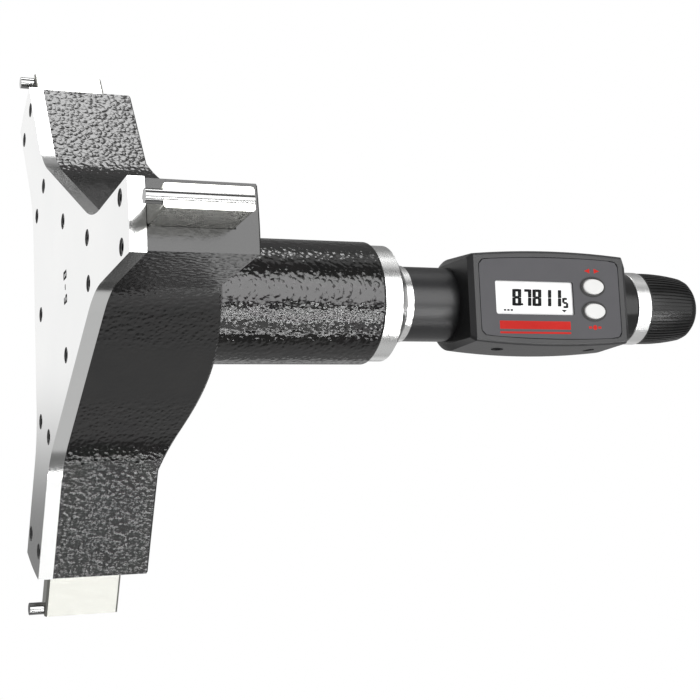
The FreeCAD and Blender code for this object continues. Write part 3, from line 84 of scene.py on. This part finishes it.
def position(tree, scale=(1.0, 1.0, 1.0)):
    """The point on the piece in metres, stretched by scale."""
    place = tree.nodes.new("ShaderNodeTexCoord")
    mapping = tree.nodes.new("ShaderNodeMapping")
    mapping.inputs["Scale"].default_value = scale
    tree.links.new(place.outputs["Object"], mapping.inputs["Vector"])
    return mapping.outputs["Vector"]


def noise(tree, vector, scale, detail=3.0, roughness=0.55):
    node = tree.nodes.new("ShaderNodeTexNoise")
    node.inputs["Scale"].default_value = scale
    node.inputs["Detail"].default_value = detail
    node.inputs["Roughness"].default_value = roughness
    tree.links.new(vector, node.inputs["Vector"])
    return node.outputs["Fac"]


def ramp(tree, value, stops):
    """Colours blended along a value, from stops of (value, colour)."""
    node = tree.nodes.new("ShaderNodeValToRGB")
    elements = node.color_ramp.elements
    while len(elements) < len(stops):
        elements.new(0.5)
    for element, (spot, colour) in zip(elements, stops):
        element.position = spot
        element.color = (*colour, 1.0)
    tree.links.new(value, node.inputs["Fac"])
    return node.outputs["Color"]


def grey(tree, value, low, high, start=0.3, end=0.7):
    """Map a value between two levels."""
    node = tree.nodes.new("ShaderNodeMapRange")
    node.inputs["From Min"].default_value = start
    node.inputs["From Max"].default_value = end
    node.inputs["To Min"].default_value = low
    node.inputs["To Max"].default_value = high
    tree.links.new(value, node.inputs["Value"])
    return node.outputs["Result"]


def bump(tree, shader, height, depth, strength=1.0, before=None):
    """A relief of the given depth in metres, on top of the relief before it."""
    node = tree.nodes.new("ShaderNodeBump")
    node.inputs["Distance"].default_value = depth
    node.inputs["Strength"].default_value = strength
    tree.links.new(height, node.inputs["Height"])
    if before is not None:
        tree.links.new(before, node.inputs["Normal"])
    if shader is not None:
        tree.links.new(node.outputs["Normal"], shader.inputs["Normal"])
    return node.outputs["Normal"]


def surface(shader, metallic=0.0, roughness=0.5, specular=0.5, coat=0.0):
    shader.inputs["Metallic"].default_value = metallic
    shader.inputs["Roughness"].default_value = roughness
    shader.inputs["Specular IOR Level"].default_value = specular
    shader.inputs["Coat Weight"].default_value = coat
    shader.inputs["Coat Roughness"].default_value = 0.05


def multiply(tree, first, second):
    node = tree.nodes.new("ShaderNodeMath")
    node.operation = "MULTIPLY"
    tree.links.new(first, node.inputs[0])
    tree.links.new(second, node.inputs[1])
    return node.outputs[0]


def away_from_ends(tree):
    """One on the sides of the arms, and little on faces that look straight outwards."""
    place = tree.nodes.new("ShaderNodeTexCoord")
    flat = tree.nodes.new("ShaderNodeVectorMath")
    flat.operation = "MULTIPLY"
    flat.inputs[1].default_value = (1.0, 1.0, 0.0)
    tree.links.new(place.outputs["Object"], flat.inputs[0])
    outward = tree.nodes.new("ShaderNodeVectorMath")
    outward.operation = "NORMALIZE"
    tree.links.new(flat.outputs["Vector"], outward.inputs[0])
    facing = tree.nodes.new("ShaderNodeVectorMath")
    facing.operation = "DOT_PRODUCT"
    tree.links.new(place.outputs["Normal"], facing.inputs[0])
    tree.links.new(outward.outputs["Vector"], facing.inputs[1])
    return grey(tree, facing.outputs["Value"], 1.0, 0.12, 0.90, 0.96)


WRINKLE_WARP = 1.2 * MM
WRINKLE_WARP_SCALE = 420.0


def wrinkle_paint(name, grain, depth, rough, smooth_ends=False):
    """Glossy black paint with a leathery grain; the ends of the arms can be smoother."""
    material, tree, shader = new_material(name)
    surface(shader, roughness=rough, specular=0.6)
    spot = position(tree)
    warp = tree.nodes.new("ShaderNodeTexNoise")
    warp.inputs["Scale"].default_value = WRINKLE_WARP_SCALE
    warp.inputs["Detail"].default_value = 2.0
    tree.links.new(spot, warp.inputs["Vector"])
    shift = tree.nodes.new("ShaderNodeVectorMath")
    shift.operation = "MULTIPLY_ADD"
    shift.inputs[1].default_value = (WRINKLE_WARP, WRINKLE_WARP, WRINKLE_WARP)
    tree.links.new(warp.outputs["Color"], shift.inputs[0])
    tree.links.new(spot, shift.inputs[2])
    cells = tree.nodes.new("ShaderNodeTexVoronoi")
    cells.feature = "SMOOTH_F1"
    cells.inputs["Scale"].default_value = grain
    cells.inputs["Smoothness"].default_value = 0.6
    tree.links.new(shift.outputs["Vector"], cells.inputs["Vector"])
    bumps = grey(tree, cells.outputs["Distance"], 1.0, 0.0, 0.05, 0.75)
    if smooth_ends:
        bumps = multiply(tree, bumps, away_from_ends(tree))
    fine = noise(tree, spot, 1500.0, 3.0, 0.6)
    coarse = bump(tree, None, bumps, depth, 1.0)
    bump(tree, shader, fine, 0.04 * MM, 0.6, coarse)
    tint = ramp(tree, noise(tree, spot, 90.0, 4.0), [
        (0.3, (0.004, 0.0039, 0.0039)), (0.7, (0.009, 0.0085, 0.0080))])
    tree.links.new(tint, shader.inputs["Base Color"])
    return material


def ground_steel(name, light=0.80, rough=0.30, streak=(1.0, 1.0, 1.0), warm=1.0, tones=None):
    """Ground metal with faint fine grain, in the tones of steel unless others are given."""
    material, tree, shader = new_material(name)
    surface(shader, metallic=1.0, roughness=rough)
    spot = position(tree, streak)
    grain = noise(tree, spot, 1800.0, 4.0, 0.6)
    cloud = noise(tree, position(tree), 28.0, 3.0)
    dark, bright = tones or ((light * 0.95, light * 0.955, light * 0.95 * warm),
                             (light, light, light * 0.99 * warm))
    tone = ramp(tree, cloud, [(0.3, dark), (0.7, bright)])
    tree.links.new(tone, shader.inputs["Base Color"])
    tree.links.new(grey(tree, grain, rough - 0.03, rough + 0.05), shader.inputs["Roughness"])
    bump(tree, shader, grain, 0.000008, 0.35)
    return material


def darker_between(material, start, end, share):
    """Darken the material's colour where the piece's height lies between start and end."""
    tree = material.node_tree
    shader = next(node for node in tree.nodes if node.type == "BSDF_PRINCIPLED")
    tone = next(node for node in tree.nodes if node.type == "VALTORGB")
    place = tree.nodes.new("ShaderNodeTexCoord")
    split = tree.nodes.new("ShaderNodeSeparateXYZ")
    tree.links.new(place.outputs["Object"], split.inputs[0])
    middle = tree.nodes.new("ShaderNodeMath")
    middle.operation = "COMPARE"
    middle.inputs[1].default_value = (start + end) / 2
    middle.inputs[2].default_value = (end - start) / 2
    tree.links.new(split.outputs["Z"], middle.inputs[0])
    blend = tree.nodes.new("ShaderNodeMix")
    blend.data_type = "RGBA"
    tree.links.new(middle.outputs[0], blend.inputs["Factor"])
    tree.links.new(tone.outputs["Color"], blend.inputs[6])
    blend.inputs[7].default_value = (share, share, share, 1.0)
    tree.links.new(blend.outputs[2], shader.inputs["Base Color"])


def plastic(name, low, high, rough, grain=2600.0, depth=0.02 * MM, coat=0.0, specular=0.5):
    """Moulded plastic with an even fine grain."""
    material, tree, shader = new_material(name)
    surface(shader, roughness=rough, specular=specular, coat=coat)
    spot = position(tree)
    speck = noise(tree, spot, grain, 2.0, 0.6)
    cloud = noise(tree, spot, 60.0, 3.0)
    tree.links.new(ramp(tree, cloud, [(0.3, low), (0.7, high)]), shader.inputs["Base Color"])
    tree.links.new(grey(tree, speck, rough - 0.04, rough + 0.05), shader.inputs["Roughness"])
    bump(tree, shader, speck, depth, 0.5)
    return material


PLATE = ground_steel("plate_steel", 0.87, 0.15)
STEEL = ground_steel("blade_steel", 0.80, 0.15, (1.0, 1.0, 0.15), warm=0.94)
PIN = ground_steel("pin_steel", 0.28, 0.14)
POLISHED = ground_steel("polished_steel", 0.76, 0.16)
SATIN = ground_steel("satin_chrome", 0.86, 0.32, (0.2, 0.2, 4.0))
BRONZE = ground_steel("bronze", rough=0.3, tones=((0.45, 0.29, 0.11), (0.58, 0.39, 0.16)))

# painted shade: the collar's cone is painted darker than its band and its lip, where it mirrors dark
# surroundings
COLLAR = ground_steel("collar_chrome", 0.86, 0.25, (0.2, 0.2, 4.0))
COLLAR_LIP = 2.3 * MM
COLLAR_CONE = 4.9 * MM
CONE_PAINTED_SHADE = 0.16
collar_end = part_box("collar")[1][2]
darker_between(COLLAR, collar_end - COLLAR_LIP - COLLAR_CONE, collar_end - COLLAR_LIP, CONE_PAINTED_SHADE)

PAINT = wrinkle_paint("barrel_paint", grain=600.0, depth=0.13 * MM, rough=0.11)
HEAD_PAINT = wrinkle_paint("head_paint", grain=640.0, depth=0.14 * MM, rough=0.15,
                           smooth_ends=True)

# each plastic: its two tones, roughness, grain and depth of the grain
TUBE = plastic("satin_black", (0.012, 0.012, 0.013), (0.018, 0.018, 0.019), 0.34, 1500.0)
SCREW = plastic("black_oxide", (0.016, 0.016, 0.018), (0.030, 0.030, 0.033), 0.32,
                2000.0, 0.03 * MM)
HOUSING = plastic("housing_plastic", (0.020, 0.020, 0.021), (0.026, 0.026, 0.027), 0.42,
                  3000.0, 0.03 * MM)
PANEL = plastic("panel_film", (0.052, 0.051, 0.057), (0.060, 0.059, 0.065), 0.48,
                2400.0, 0.01 * MM, specular=0.4)
CAP = plastic("glossy_cap", (0.010, 0.010, 0.010), (0.016, 0.016, 0.016), 0.16,
              900.0, 0.01 * MM, coat=0.3)
GRIP = plastic("grip_plastic", (0.007, 0.007, 0.007), (0.012, 0.012, 0.012), 0.30,
               2200.0, 0.02 * MM, specular=0.4)
DARK = plastic("dark_plastic", (0.020, 0.020, 0.020), (0.030, 0.030, 0.030), 0.5)
RUBBER = plastic("black_rubber", (0.012, 0.012, 0.012), (0.020, 0.020, 0.020), 0.6)
BOARD = plastic("board_green", (0.010, 0.080, 0.035), (0.018, 0.110, 0.050), 0.35)
KEY = plastic("key_rubber", (0.66, 0.66, 0.65), (0.70, 0.70, 0.69), 0.45, 1800.0, 0.01 * MM)
SCREEN = plastic("display_face", (0.80, 0.80, 0.80), (0.84, 0.84, 0.84), 0.22,
                 1600.0, 0.004 * MM)
# dark print; the same colour is also painted shade for the housing screws in their holes and for the
# panel's groove
PRINT_AND_SHADE_INK = plastic("dark_print_and_shade", (0.006, 0.006, 0.007), (0.012, 0.012, 0.013), 0.7,
              1200.0, 0.002 * MM, specular=0.15)
RED = plastic("red_print", (0.46, 0.018, 0.014), (0.54, 0.024, 0.018), 0.7,
              1200.0, 0.002 * MM, specular=0.15)

LOOKS = {
    "front_plate": PLATE, "plate_screws": SCREW, "head_casting": HEAD_PAINT, "spring_posts": POLISHED,
    "wedge_cone": STEEL, "drive_nut": BRONZE, "lead_screw": POLISHED, "retaining_clip": SCREW,
    "barrel": PAINT, "bearing_bush": BRONZE, "collar": COLLAR, "neck_tube": TUBE, "drive_rod": POLISHED,
    "encoder_disc": DARK, "clutch_hub": BRONZE, "shaft_nut": POLISHED, "display_housing": HOUSING,
    # the housing screws take the dark print colour: painted shade for the bottom of their holes
    "battery_cover": HOUSING, "cover_screws": SCREW, "housing_screws": PRINT_AND_SHADE_INK, "label_panel": PANEL,
    "lcd_window": SCREEN, "lcd_module": SCREEN, "circuit_board": BOARD, "button_gaskets": RUBBER,
    "mode_button": KEY, "set_button": KEY, "key_switches": DARK, "coin_cell": SATIN,
    "encoder_sensor": DARK, "shaft_bush": BRONZE, "rear_cap": CAP, "spindle_seal": RUBBER,
    "thimble_ring": SATIN, "thimble_grip": GRIP, "friction_plate": BRONZE, "end_plug": CAP,
    "clutch_spring": POLISHED,
}
for number in (1, 2, 3):
    LOOKS["anvil_blade_%d" % number] = STEEL
    LOOKS["anvil_pin_%d" % number] = PIN
    LOOKS["return_spring_%d" % number] = POLISHED
for name, node in NODES.items():
    node.data.materials.clear()
    node.data.materials.append(LOOKS[name])

# Printing: a reading on the display, plain marks for the keys, a stripe, and numbers on the plate; and
# a ring of painted shade over the groove round the label panel

press = next(joint for joint in frame["joints"] if joint["name"] == "mode_press")
OUT = -Vector(press["axis"])
ACROSS = Vector((-OUT.y, OUT.x, 0.0))
ALONG = Vector((0.0, 0.0, 1.0))
SHEET_LIFT = 0.02 * MM


def reach(name, direction):
    """How far a node reaches along a direction."""
    node = NODES[name]
    return max((node.matrix_world @ vertex.co).dot(direction) for vertex in node.data.vertices)


def flat_sheet(name, material, outlines, face, start, across=ACROSS, along=ALONG, out=OUT):
    """A flat sheet on a face, for print and for painted shade: outlines of (along, across) points in
    millimetres from start.
    """
    work = bmesh.new()
    for points in outlines:
        spots = [out * (face + SHEET_LIFT) + along * (start + a * MM) + across * (c * MM)
                 for a, c in points]
        polygon = work.faces.new([work.verts.new(spot) for spot in spots])
        polygon.normal_update()
        if polygon.normal.dot(out) < 0:
            polygon.normal_flip()
    mesh = bpy.data.meshes.new(name)
    work.to_mesh(mesh)
    work.free()
    mesh.materials.append(material)
    piece = bpy.data.objects.new(name, mesh)
    scene.collection.objects.link(piece)
    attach(piece, "head")
    return piece


def bar(left, top, right, bottom):
    return [(left, top), (right, top), (right, bottom), (left, bottom)]


def dot(along, across, radius, corners=20):
    steps = [2 * math.pi * k / corners for k in range(corners)]
    return [(along + radius * math.cos(step), across + radius * math.sin(step)) for step in steps]


# the strokes of each sign: a, g and d run across from the top down, the others run down
STROKES = {"1": "bc", "5": "acdfg", "7": "abc", "8": "abcdefg", "9": "abcdfg", "-": "g"}
STROKE_GAP = 0.05
STROKE_CUT = 0.16


def digit(sign, left, top, wide, high, stem, rung, slant=0.06):
    """A seven-stroke digit: stems run down, rungs run across, and each stroke has cut corners."""
    gap, cut = STROKE_GAP, STROKE_CUT
    x0, x1 = left + stem / 2, left + wide - stem / 2
    y0, y1, y2 = top + rung / 2, top + high / 2, top + high - rung / 2
    rungs = {"a": y0, "g": y1, "d": y2}
    stems = {"b": (x1, top, y1), "c": (x1, y1, top + high),
             "e": (x0, y1, top + high), "f": (x0, top, y1)}
    strokes = []
    for stroke in STROKES[sign]:
        if stroke in rungs:
            a0, a1 = x0 + gap, x1 - gap
            c0, c1 = rungs[stroke] - rung / 2, rungs[stroke] + rung / 2
        else:
            x, start, end = stems[stroke]
            a0, a1, c0, c1 = x - stem / 2, x + stem / 2, start + gap, end - gap
        shape = [(a0 + cut, c0), (a1 - cut, c0), (a1, c0 + cut), (a1, c1 - cut),
                 (a1 - cut, c1), (a0 + cut, c1), (a0, c1 - cut), (a0, c0 + cut)]
        strokes.append([(a - slant * (c - y1), c) for a, c in shape])
    return strokes


GLASS_LAP = 1.0 * MM
glass_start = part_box("lcd_window")[0][2] + GLASS_LAP
glass_face = reach("lcd_window", OUT)
label_face = reach("label_panel", OUT)

# the display's large digits, small last digit and marks, in millimetres from the glass's start
READING_START = 6.9
DIGIT_PITCH = 4.07
DIGIT = {"top": -3.15, "wide": 3.65, "high": 6.0, "stem": 1.4, "rung": 0.95}
LAST_DIGIT = {"top": -0.35, "wide": 2.5, "high": 3.7, "stem": 0.95, "rung": 0.75}
LAST_DIGIT_START = 27.1
POINT = (10.75, 2.3)
POINT_RADIUS = 0.42
FLAG_START, FLAG_PITCH, FLAG_LONG = 3.3, 1.35, 0.9
FLAG_TOP, FLAG_FOOT = 4.1, 4.7
POINTER = [(26.6, 4.0), (28.9, 4.0), (27.75, 4.9)]

reading = []
for index, sign in enumerate("87811"):
    reading += digit(sign, READING_START + DIGIT_PITCH * index, **DIGIT)
reading.append(dot(*POINT, POINT_RADIUS))
reading += digit("5", LAST_DIGIT_START, **LAST_DIGIT)
for index in range(3):
    flag = FLAG_START + FLAG_PITCH * index
    reading.append(bar(flag, FLAG_TOP, flag + FLAG_LONG, FLAG_FOOT))
reading.append(POINTER)
flat_sheet("display_digits", PRINT_AND_SHADE_INK, reading, glass_face, glass_start)

# plain marks on both sides of the keys, and the stripe below the display
KEY_PLACE = 39.75
key_marks = [
    [(KEY_PLACE - 3.2, -10.25), (KEY_PLACE - 0.9, -11.15), (KEY_PLACE - 0.9, -9.35)],
    [(KEY_PLACE + 3.2, -10.25), (KEY_PLACE + 0.9, -11.15), (KEY_PLACE + 0.9, -9.35)],
    dot(KEY_PLACE, 10.3, 0.9),
    bar(KEY_PLACE - 2.6, 9.9, KEY_PLACE - 1.3, 10.7),
    bar(KEY_PLACE + 1.3, 9.9, KEY_PLACE + 2.6, 10.7),
]
flat_sheet("key_marks", RED, key_marks, label_face, glass_start)
stripes = [bar(1.0, 8.3, 29.6, 11.2), bar(1.0, 12.1, 29.6, 12.8)]
flat_sheet("label_stripe", RED, stripes, label_face, glass_start)

GROOVE_SHADE_WIDTH = 0.42
GROOVE_SHADE_STEPS = 96


def outermost(flat, middle, ray):
    """Where a ray from the middle leaves the convex outline of the points."""
    hull = convex(flat)
    for (ax, ay), (bx, by) in zip(hull, hull[1:] + hull[:1]):
        ax, ay, bx, by = ax - middle[0], ay - middle[1], bx - middle[0], by - middle[1]
        first, second = ray[0] * ay - ray[1] * ax, ray[0] * by - ray[1] * bx
        if first <= 0 < second or second <= 0 < first:
            share = first / (first - second)
            x, y = ax + (bx - ax) * share, ay + (by - ay) * share
            if x * ray[0] + y * ray[1] > 0:
                return middle[0] + x, middle[1] + y
    return middle


def convex(flat):
    """The convex outline of flat points, in order."""
    ordered = sorted(set((round(x, 4), round(y, 4)) for x, y in flat))
    outline = []
    for way in (ordered, ordered[::-1]):
        start = len(outline)
        for point in way:
            while len(outline) >= start + 2 and turn_of(outline[-2], outline[-1], point) <= 0:
                outline.pop()
            outline.append(point)
        outline.pop()
    return outline


def turn_of(first, second, third):
    return ((second[0] - first[0]) * (third[1] - first[1])
            - (second[1] - first[1]) * (third[0] - first[0]))


def groove_shade_ring():
    """A thin dark ring of painted shade over the groove between the label panel and the housing, as
    short pieces.
    """
    panel = NODES["label_panel"]
    spots = [panel.matrix_world @ vertex.co for vertex in panel.data.vertices]
    flat = [((spot.z - glass_start) / MM, spot.dot(ACROSS) / MM) for spot in spots]
    middle = [(max(values) + min(values)) / 2 for values in zip(*flat)]
    edge = []
    for step in range(GROOVE_SHADE_STEPS):
        turned = 2 * math.pi * step / GROOVE_SHADE_STEPS
        ray = (math.cos(turned), math.sin(turned))
        edge.append(outermost(flat, middle, ray))
    pieces = []
    for first, second in zip(edge, edge[1:] + edge[:1]):
        corners = []
        for (a, c), out in ((first, -1), (second, -1), (second, 1), (first, 1)):
            length = math.hypot(a - middle[0], c - middle[1])
            grown = 1 + out * GROOVE_SHADE_WIDTH / 2 / length
            corners.append((middle[0] + (a - middle[0]) * grown, middle[1] + (c - middle[1]) * grown))
        pieces.append(corners)
    return pieces


# painted shade: a dark ring laid over the groove round the label panel, in the dark print colour
flat_sheet("panel_groove_shade", PRINT_AND_SHADE_INK, groove_shade_ring(), label_face, glass_start)

# the measuring range on the front plate, read from the plate's outside
RANGE_PLACE = (16.0, -5.0)
RANGE_PITCH = 3.9
RANGE_SIGN = {"top": 0.0, "wide": 2.7, "high": 4.4, "stem": 0.8, "rung": 0.9, "slant": 0.0}
range_marks = []
for index, sign in enumerate("8-9"):
    range_marks += digit(sign, RANGE_PITCH * index, **RANGE_SIGN)
placed = [[(RANGE_PLACE[1] + a, RANGE_PLACE[0] - c) for a, c in shape] for shape in range_marks]
flat_sheet("plate_numbers", PRINT_AND_SHADE_INK, placed, 0.0, 0.0, across=Vector((1.0, 0.0, 0.0)),
        along=Vector((0.0, 1.0, 0.0)), out=Vector((0.0, 0.0, -1.0)))

# Stage: a pale floor under the plate that can't be seen from below, and a white studio

FLOOR_SIDE = 3.0
FLOOR_DROP = 0.2 * MM
floor_mesh = bpy.data.meshes.new("floor")
floor_corners = [(FLOOR_SIDE * x, FLOOR_SIDE * y, 0) for x, y in ((-1, -1), (1, -1), (1, 1), (-1, 1))]
floor_mesh.from_pydata(floor_corners, [], [(0, 1, 2, 3)])
floor = bpy.data.objects.new("floor", floor_mesh)
scene.collection.objects.link(floor)
floor.location.z = -FLOOR_DROP
material = bpy.data.materials.new("pale_floor")
material.use_nodes = True
tree = material.node_tree
tree.nodes.clear()
output = tree.nodes.new("ShaderNodeOutputMaterial")
clear = tree.nodes.new("ShaderNodeBsdfTransparent")
pale = tree.nodes.new("ShaderNodeBsdfDiffuse")
pale.inputs["Color"].default_value = (0.80, 0.80, 0.80, 1.0)
mix = tree.nodes.new("ShaderNodeMixShader")
path = tree.nodes.new("ShaderNodeLightPath")
geometry = tree.nodes.new("ShaderNodeNewGeometry")
front = tree.nodes.new("ShaderNodeMath")
front.operation = "SUBTRACT"
front.inputs[0].default_value = 1.0
tree.links.new(geometry.outputs["Backfacing"], front.inputs[1])
seen = tree.nodes.new("ShaderNodeMath")
seen.operation = "MULTIPLY"
tree.links.new(front.outputs[0], seen.inputs[0])
tree.links.new(path.outputs["Is Camera Ray"], seen.inputs[1])
tree.links.new(seen.outputs[0], mix.inputs["Fac"])
tree.links.new(clear.outputs[0], mix.inputs[1])
tree.links.new(pale.outputs[0], mix.inputs[2])
tree.links.new(mix.outputs[0], output.inputs["Surface"])
floor_mesh.materials.append(material)

# World: plain white to the camera, and a soft studio of bright panels for everything else

world = bpy.data.worlds.new("studio")
scene.world = world
world.use_nodes = True
tree = world.node_tree
tree.nodes.clear()
output = tree.nodes.new("ShaderNodeOutputWorld")
ground = tree.nodes.new("ShaderNodeBackground")
studio = tree.nodes.new("ShaderNodeBackground")
mix = tree.nodes.new("ShaderNodeMixShader")
path = tree.nodes.new("ShaderNodeLightPath")
place = tree.nodes.new("ShaderNodeTexCoord")
tree.links.new(path.outputs["Is Camera Ray"], mix.inputs["Fac"])
tree.links.new(studio.outputs[0], mix.inputs[1])
tree.links.new(ground.outputs[0], mix.inputs[2])
tree.links.new(mix.outputs[0], output.inputs["Surface"])
ground.inputs["Color"].default_value = (1.0, 1.0, 1.0, 1.0)
ground.inputs["Strength"].default_value = 1.0


def towards(right, up, back):
    """A direction given from the picture: to the right, up, and back towards the viewer."""
    return (RIGHT * right - DOWN * up - FORWARD * back).normalized()


# each softbox: its direction (right, up, back), half width, half height, soft edge, strength;
# the three narrow ones make the barrel's paint sparkle
SOFTBOXES = [
    ((0.60, 0.42, 0.68), 0.27, 0.42, 0.06, 4.40),
    ((0.93, 0.25, 0.28), 0.32, 0.50, 0.12, 1.05),
    ((0.48, -0.67, 0.57), 0.28, 0.14, 0.08, 0.85),
    ((0.00, 0.98, -0.19), 0.75, 0.20, 0.08, 0.62),
    ((0.00, 0.86, -0.51), 0.75, 0.22, 0.12, 0.16),
    ((0.11, 0.97, -0.21), 0.14, 0.14, 0.08, 7.5),
    ((0.45, -0.79, 0.41), 0.36, 0.020, 0.02, 14.0),
    ((-0.63, 0.15, -0.765), 0.42, 0.27, 0.12, 0.77),
    ((0.10, 0.00, -1.00), 1.30, 1.00, 0.60, 0.08),
    ((-0.05, -0.58, -0.81), 0.50, 0.22, 0.12, 0.50),
    ((0.00, -0.95, -0.31), 0.75, 0.36, 0.12, 0.38),
    ((-0.60, 0.50, 0.70), 0.60, 0.50, 0.40, 0.30),
]
for up in (-0.20, -0.36, -0.54):
    SOFTBOXES.append(((0.70, up, 0.62), 0.36, 0.014, 0.01, 26.0))
BASE_LIGHT = 0.16


def dot_with(direction):
    node = tree.nodes.new("ShaderNodeVectorMath")
    node.operation = "DOT_PRODUCT"
    node.inputs[1].default_value = direction
    tree.links.new(place.outputs["Generated"], node.inputs[0])
    return node.outputs["Value"]


def calculate(operation, first, second=None):
    """One arithmetic step; each input is a socket or a number."""
    node = tree.nodes.new("ShaderNodeMath")
    node.operation = operation
    for socket, value in zip(node.inputs, (first, second)):
        if isinstance(value, (int, float)):
            socket.default_value = value
        elif value is not None:
            tree.links.new(value, socket)
    return node.outputs[0]


def fall_off(value, start, end):
    """One up to start, and down to nothing at end."""
    node = tree.nodes.new("ShaderNodeMapRange")
    node.interpolation_type = "SMOOTHSTEP"
    node.inputs["From Min"].default_value = start
    node.inputs["From Max"].default_value = end
    node.inputs["To Min"].default_value = 1.0
    node.inputs["To Max"].default_value = 0.0
    tree.links.new(value, node.inputs["Value"])
    return node.outputs["Result"]


total = BASE_LIGHT
for (right, up, back), half_width, half_height, edge, strength in SOFTBOXES:
    centre = towards(right, up, back)
    side = centre.cross(DOWN).normalized()
    ahead = dot_with(centre)
    depth = calculate("MAXIMUM", ahead, 0.05)
    across = calculate("ABSOLUTE", calculate("DIVIDE", dot_with(side), depth))
    along = calculate("ABSOLUTE", calculate("DIVIDE", dot_with(side.cross(centre)), depth))
    box = calculate("MULTIPLY", fall_off(across, half_width - edge / 2, half_width + edge / 2),
                    fall_off(along, half_height - edge / 2, half_height + edge / 2))
    shown = calculate("MULTIPLY", box, calculate("GREATER_THAN", ahead, 0.0))
    total = calculate("ADD", total, calculate("MULTIPLY", shown, strength))
tree.links.new(total, studio.inputs["Strength"])
studio.inputs["Color"].default_value = (1.0, 1.0, 1.0, 1.0)

scene.view_settings.view_transform = "Standard"
scene.view_settings.look = "None"
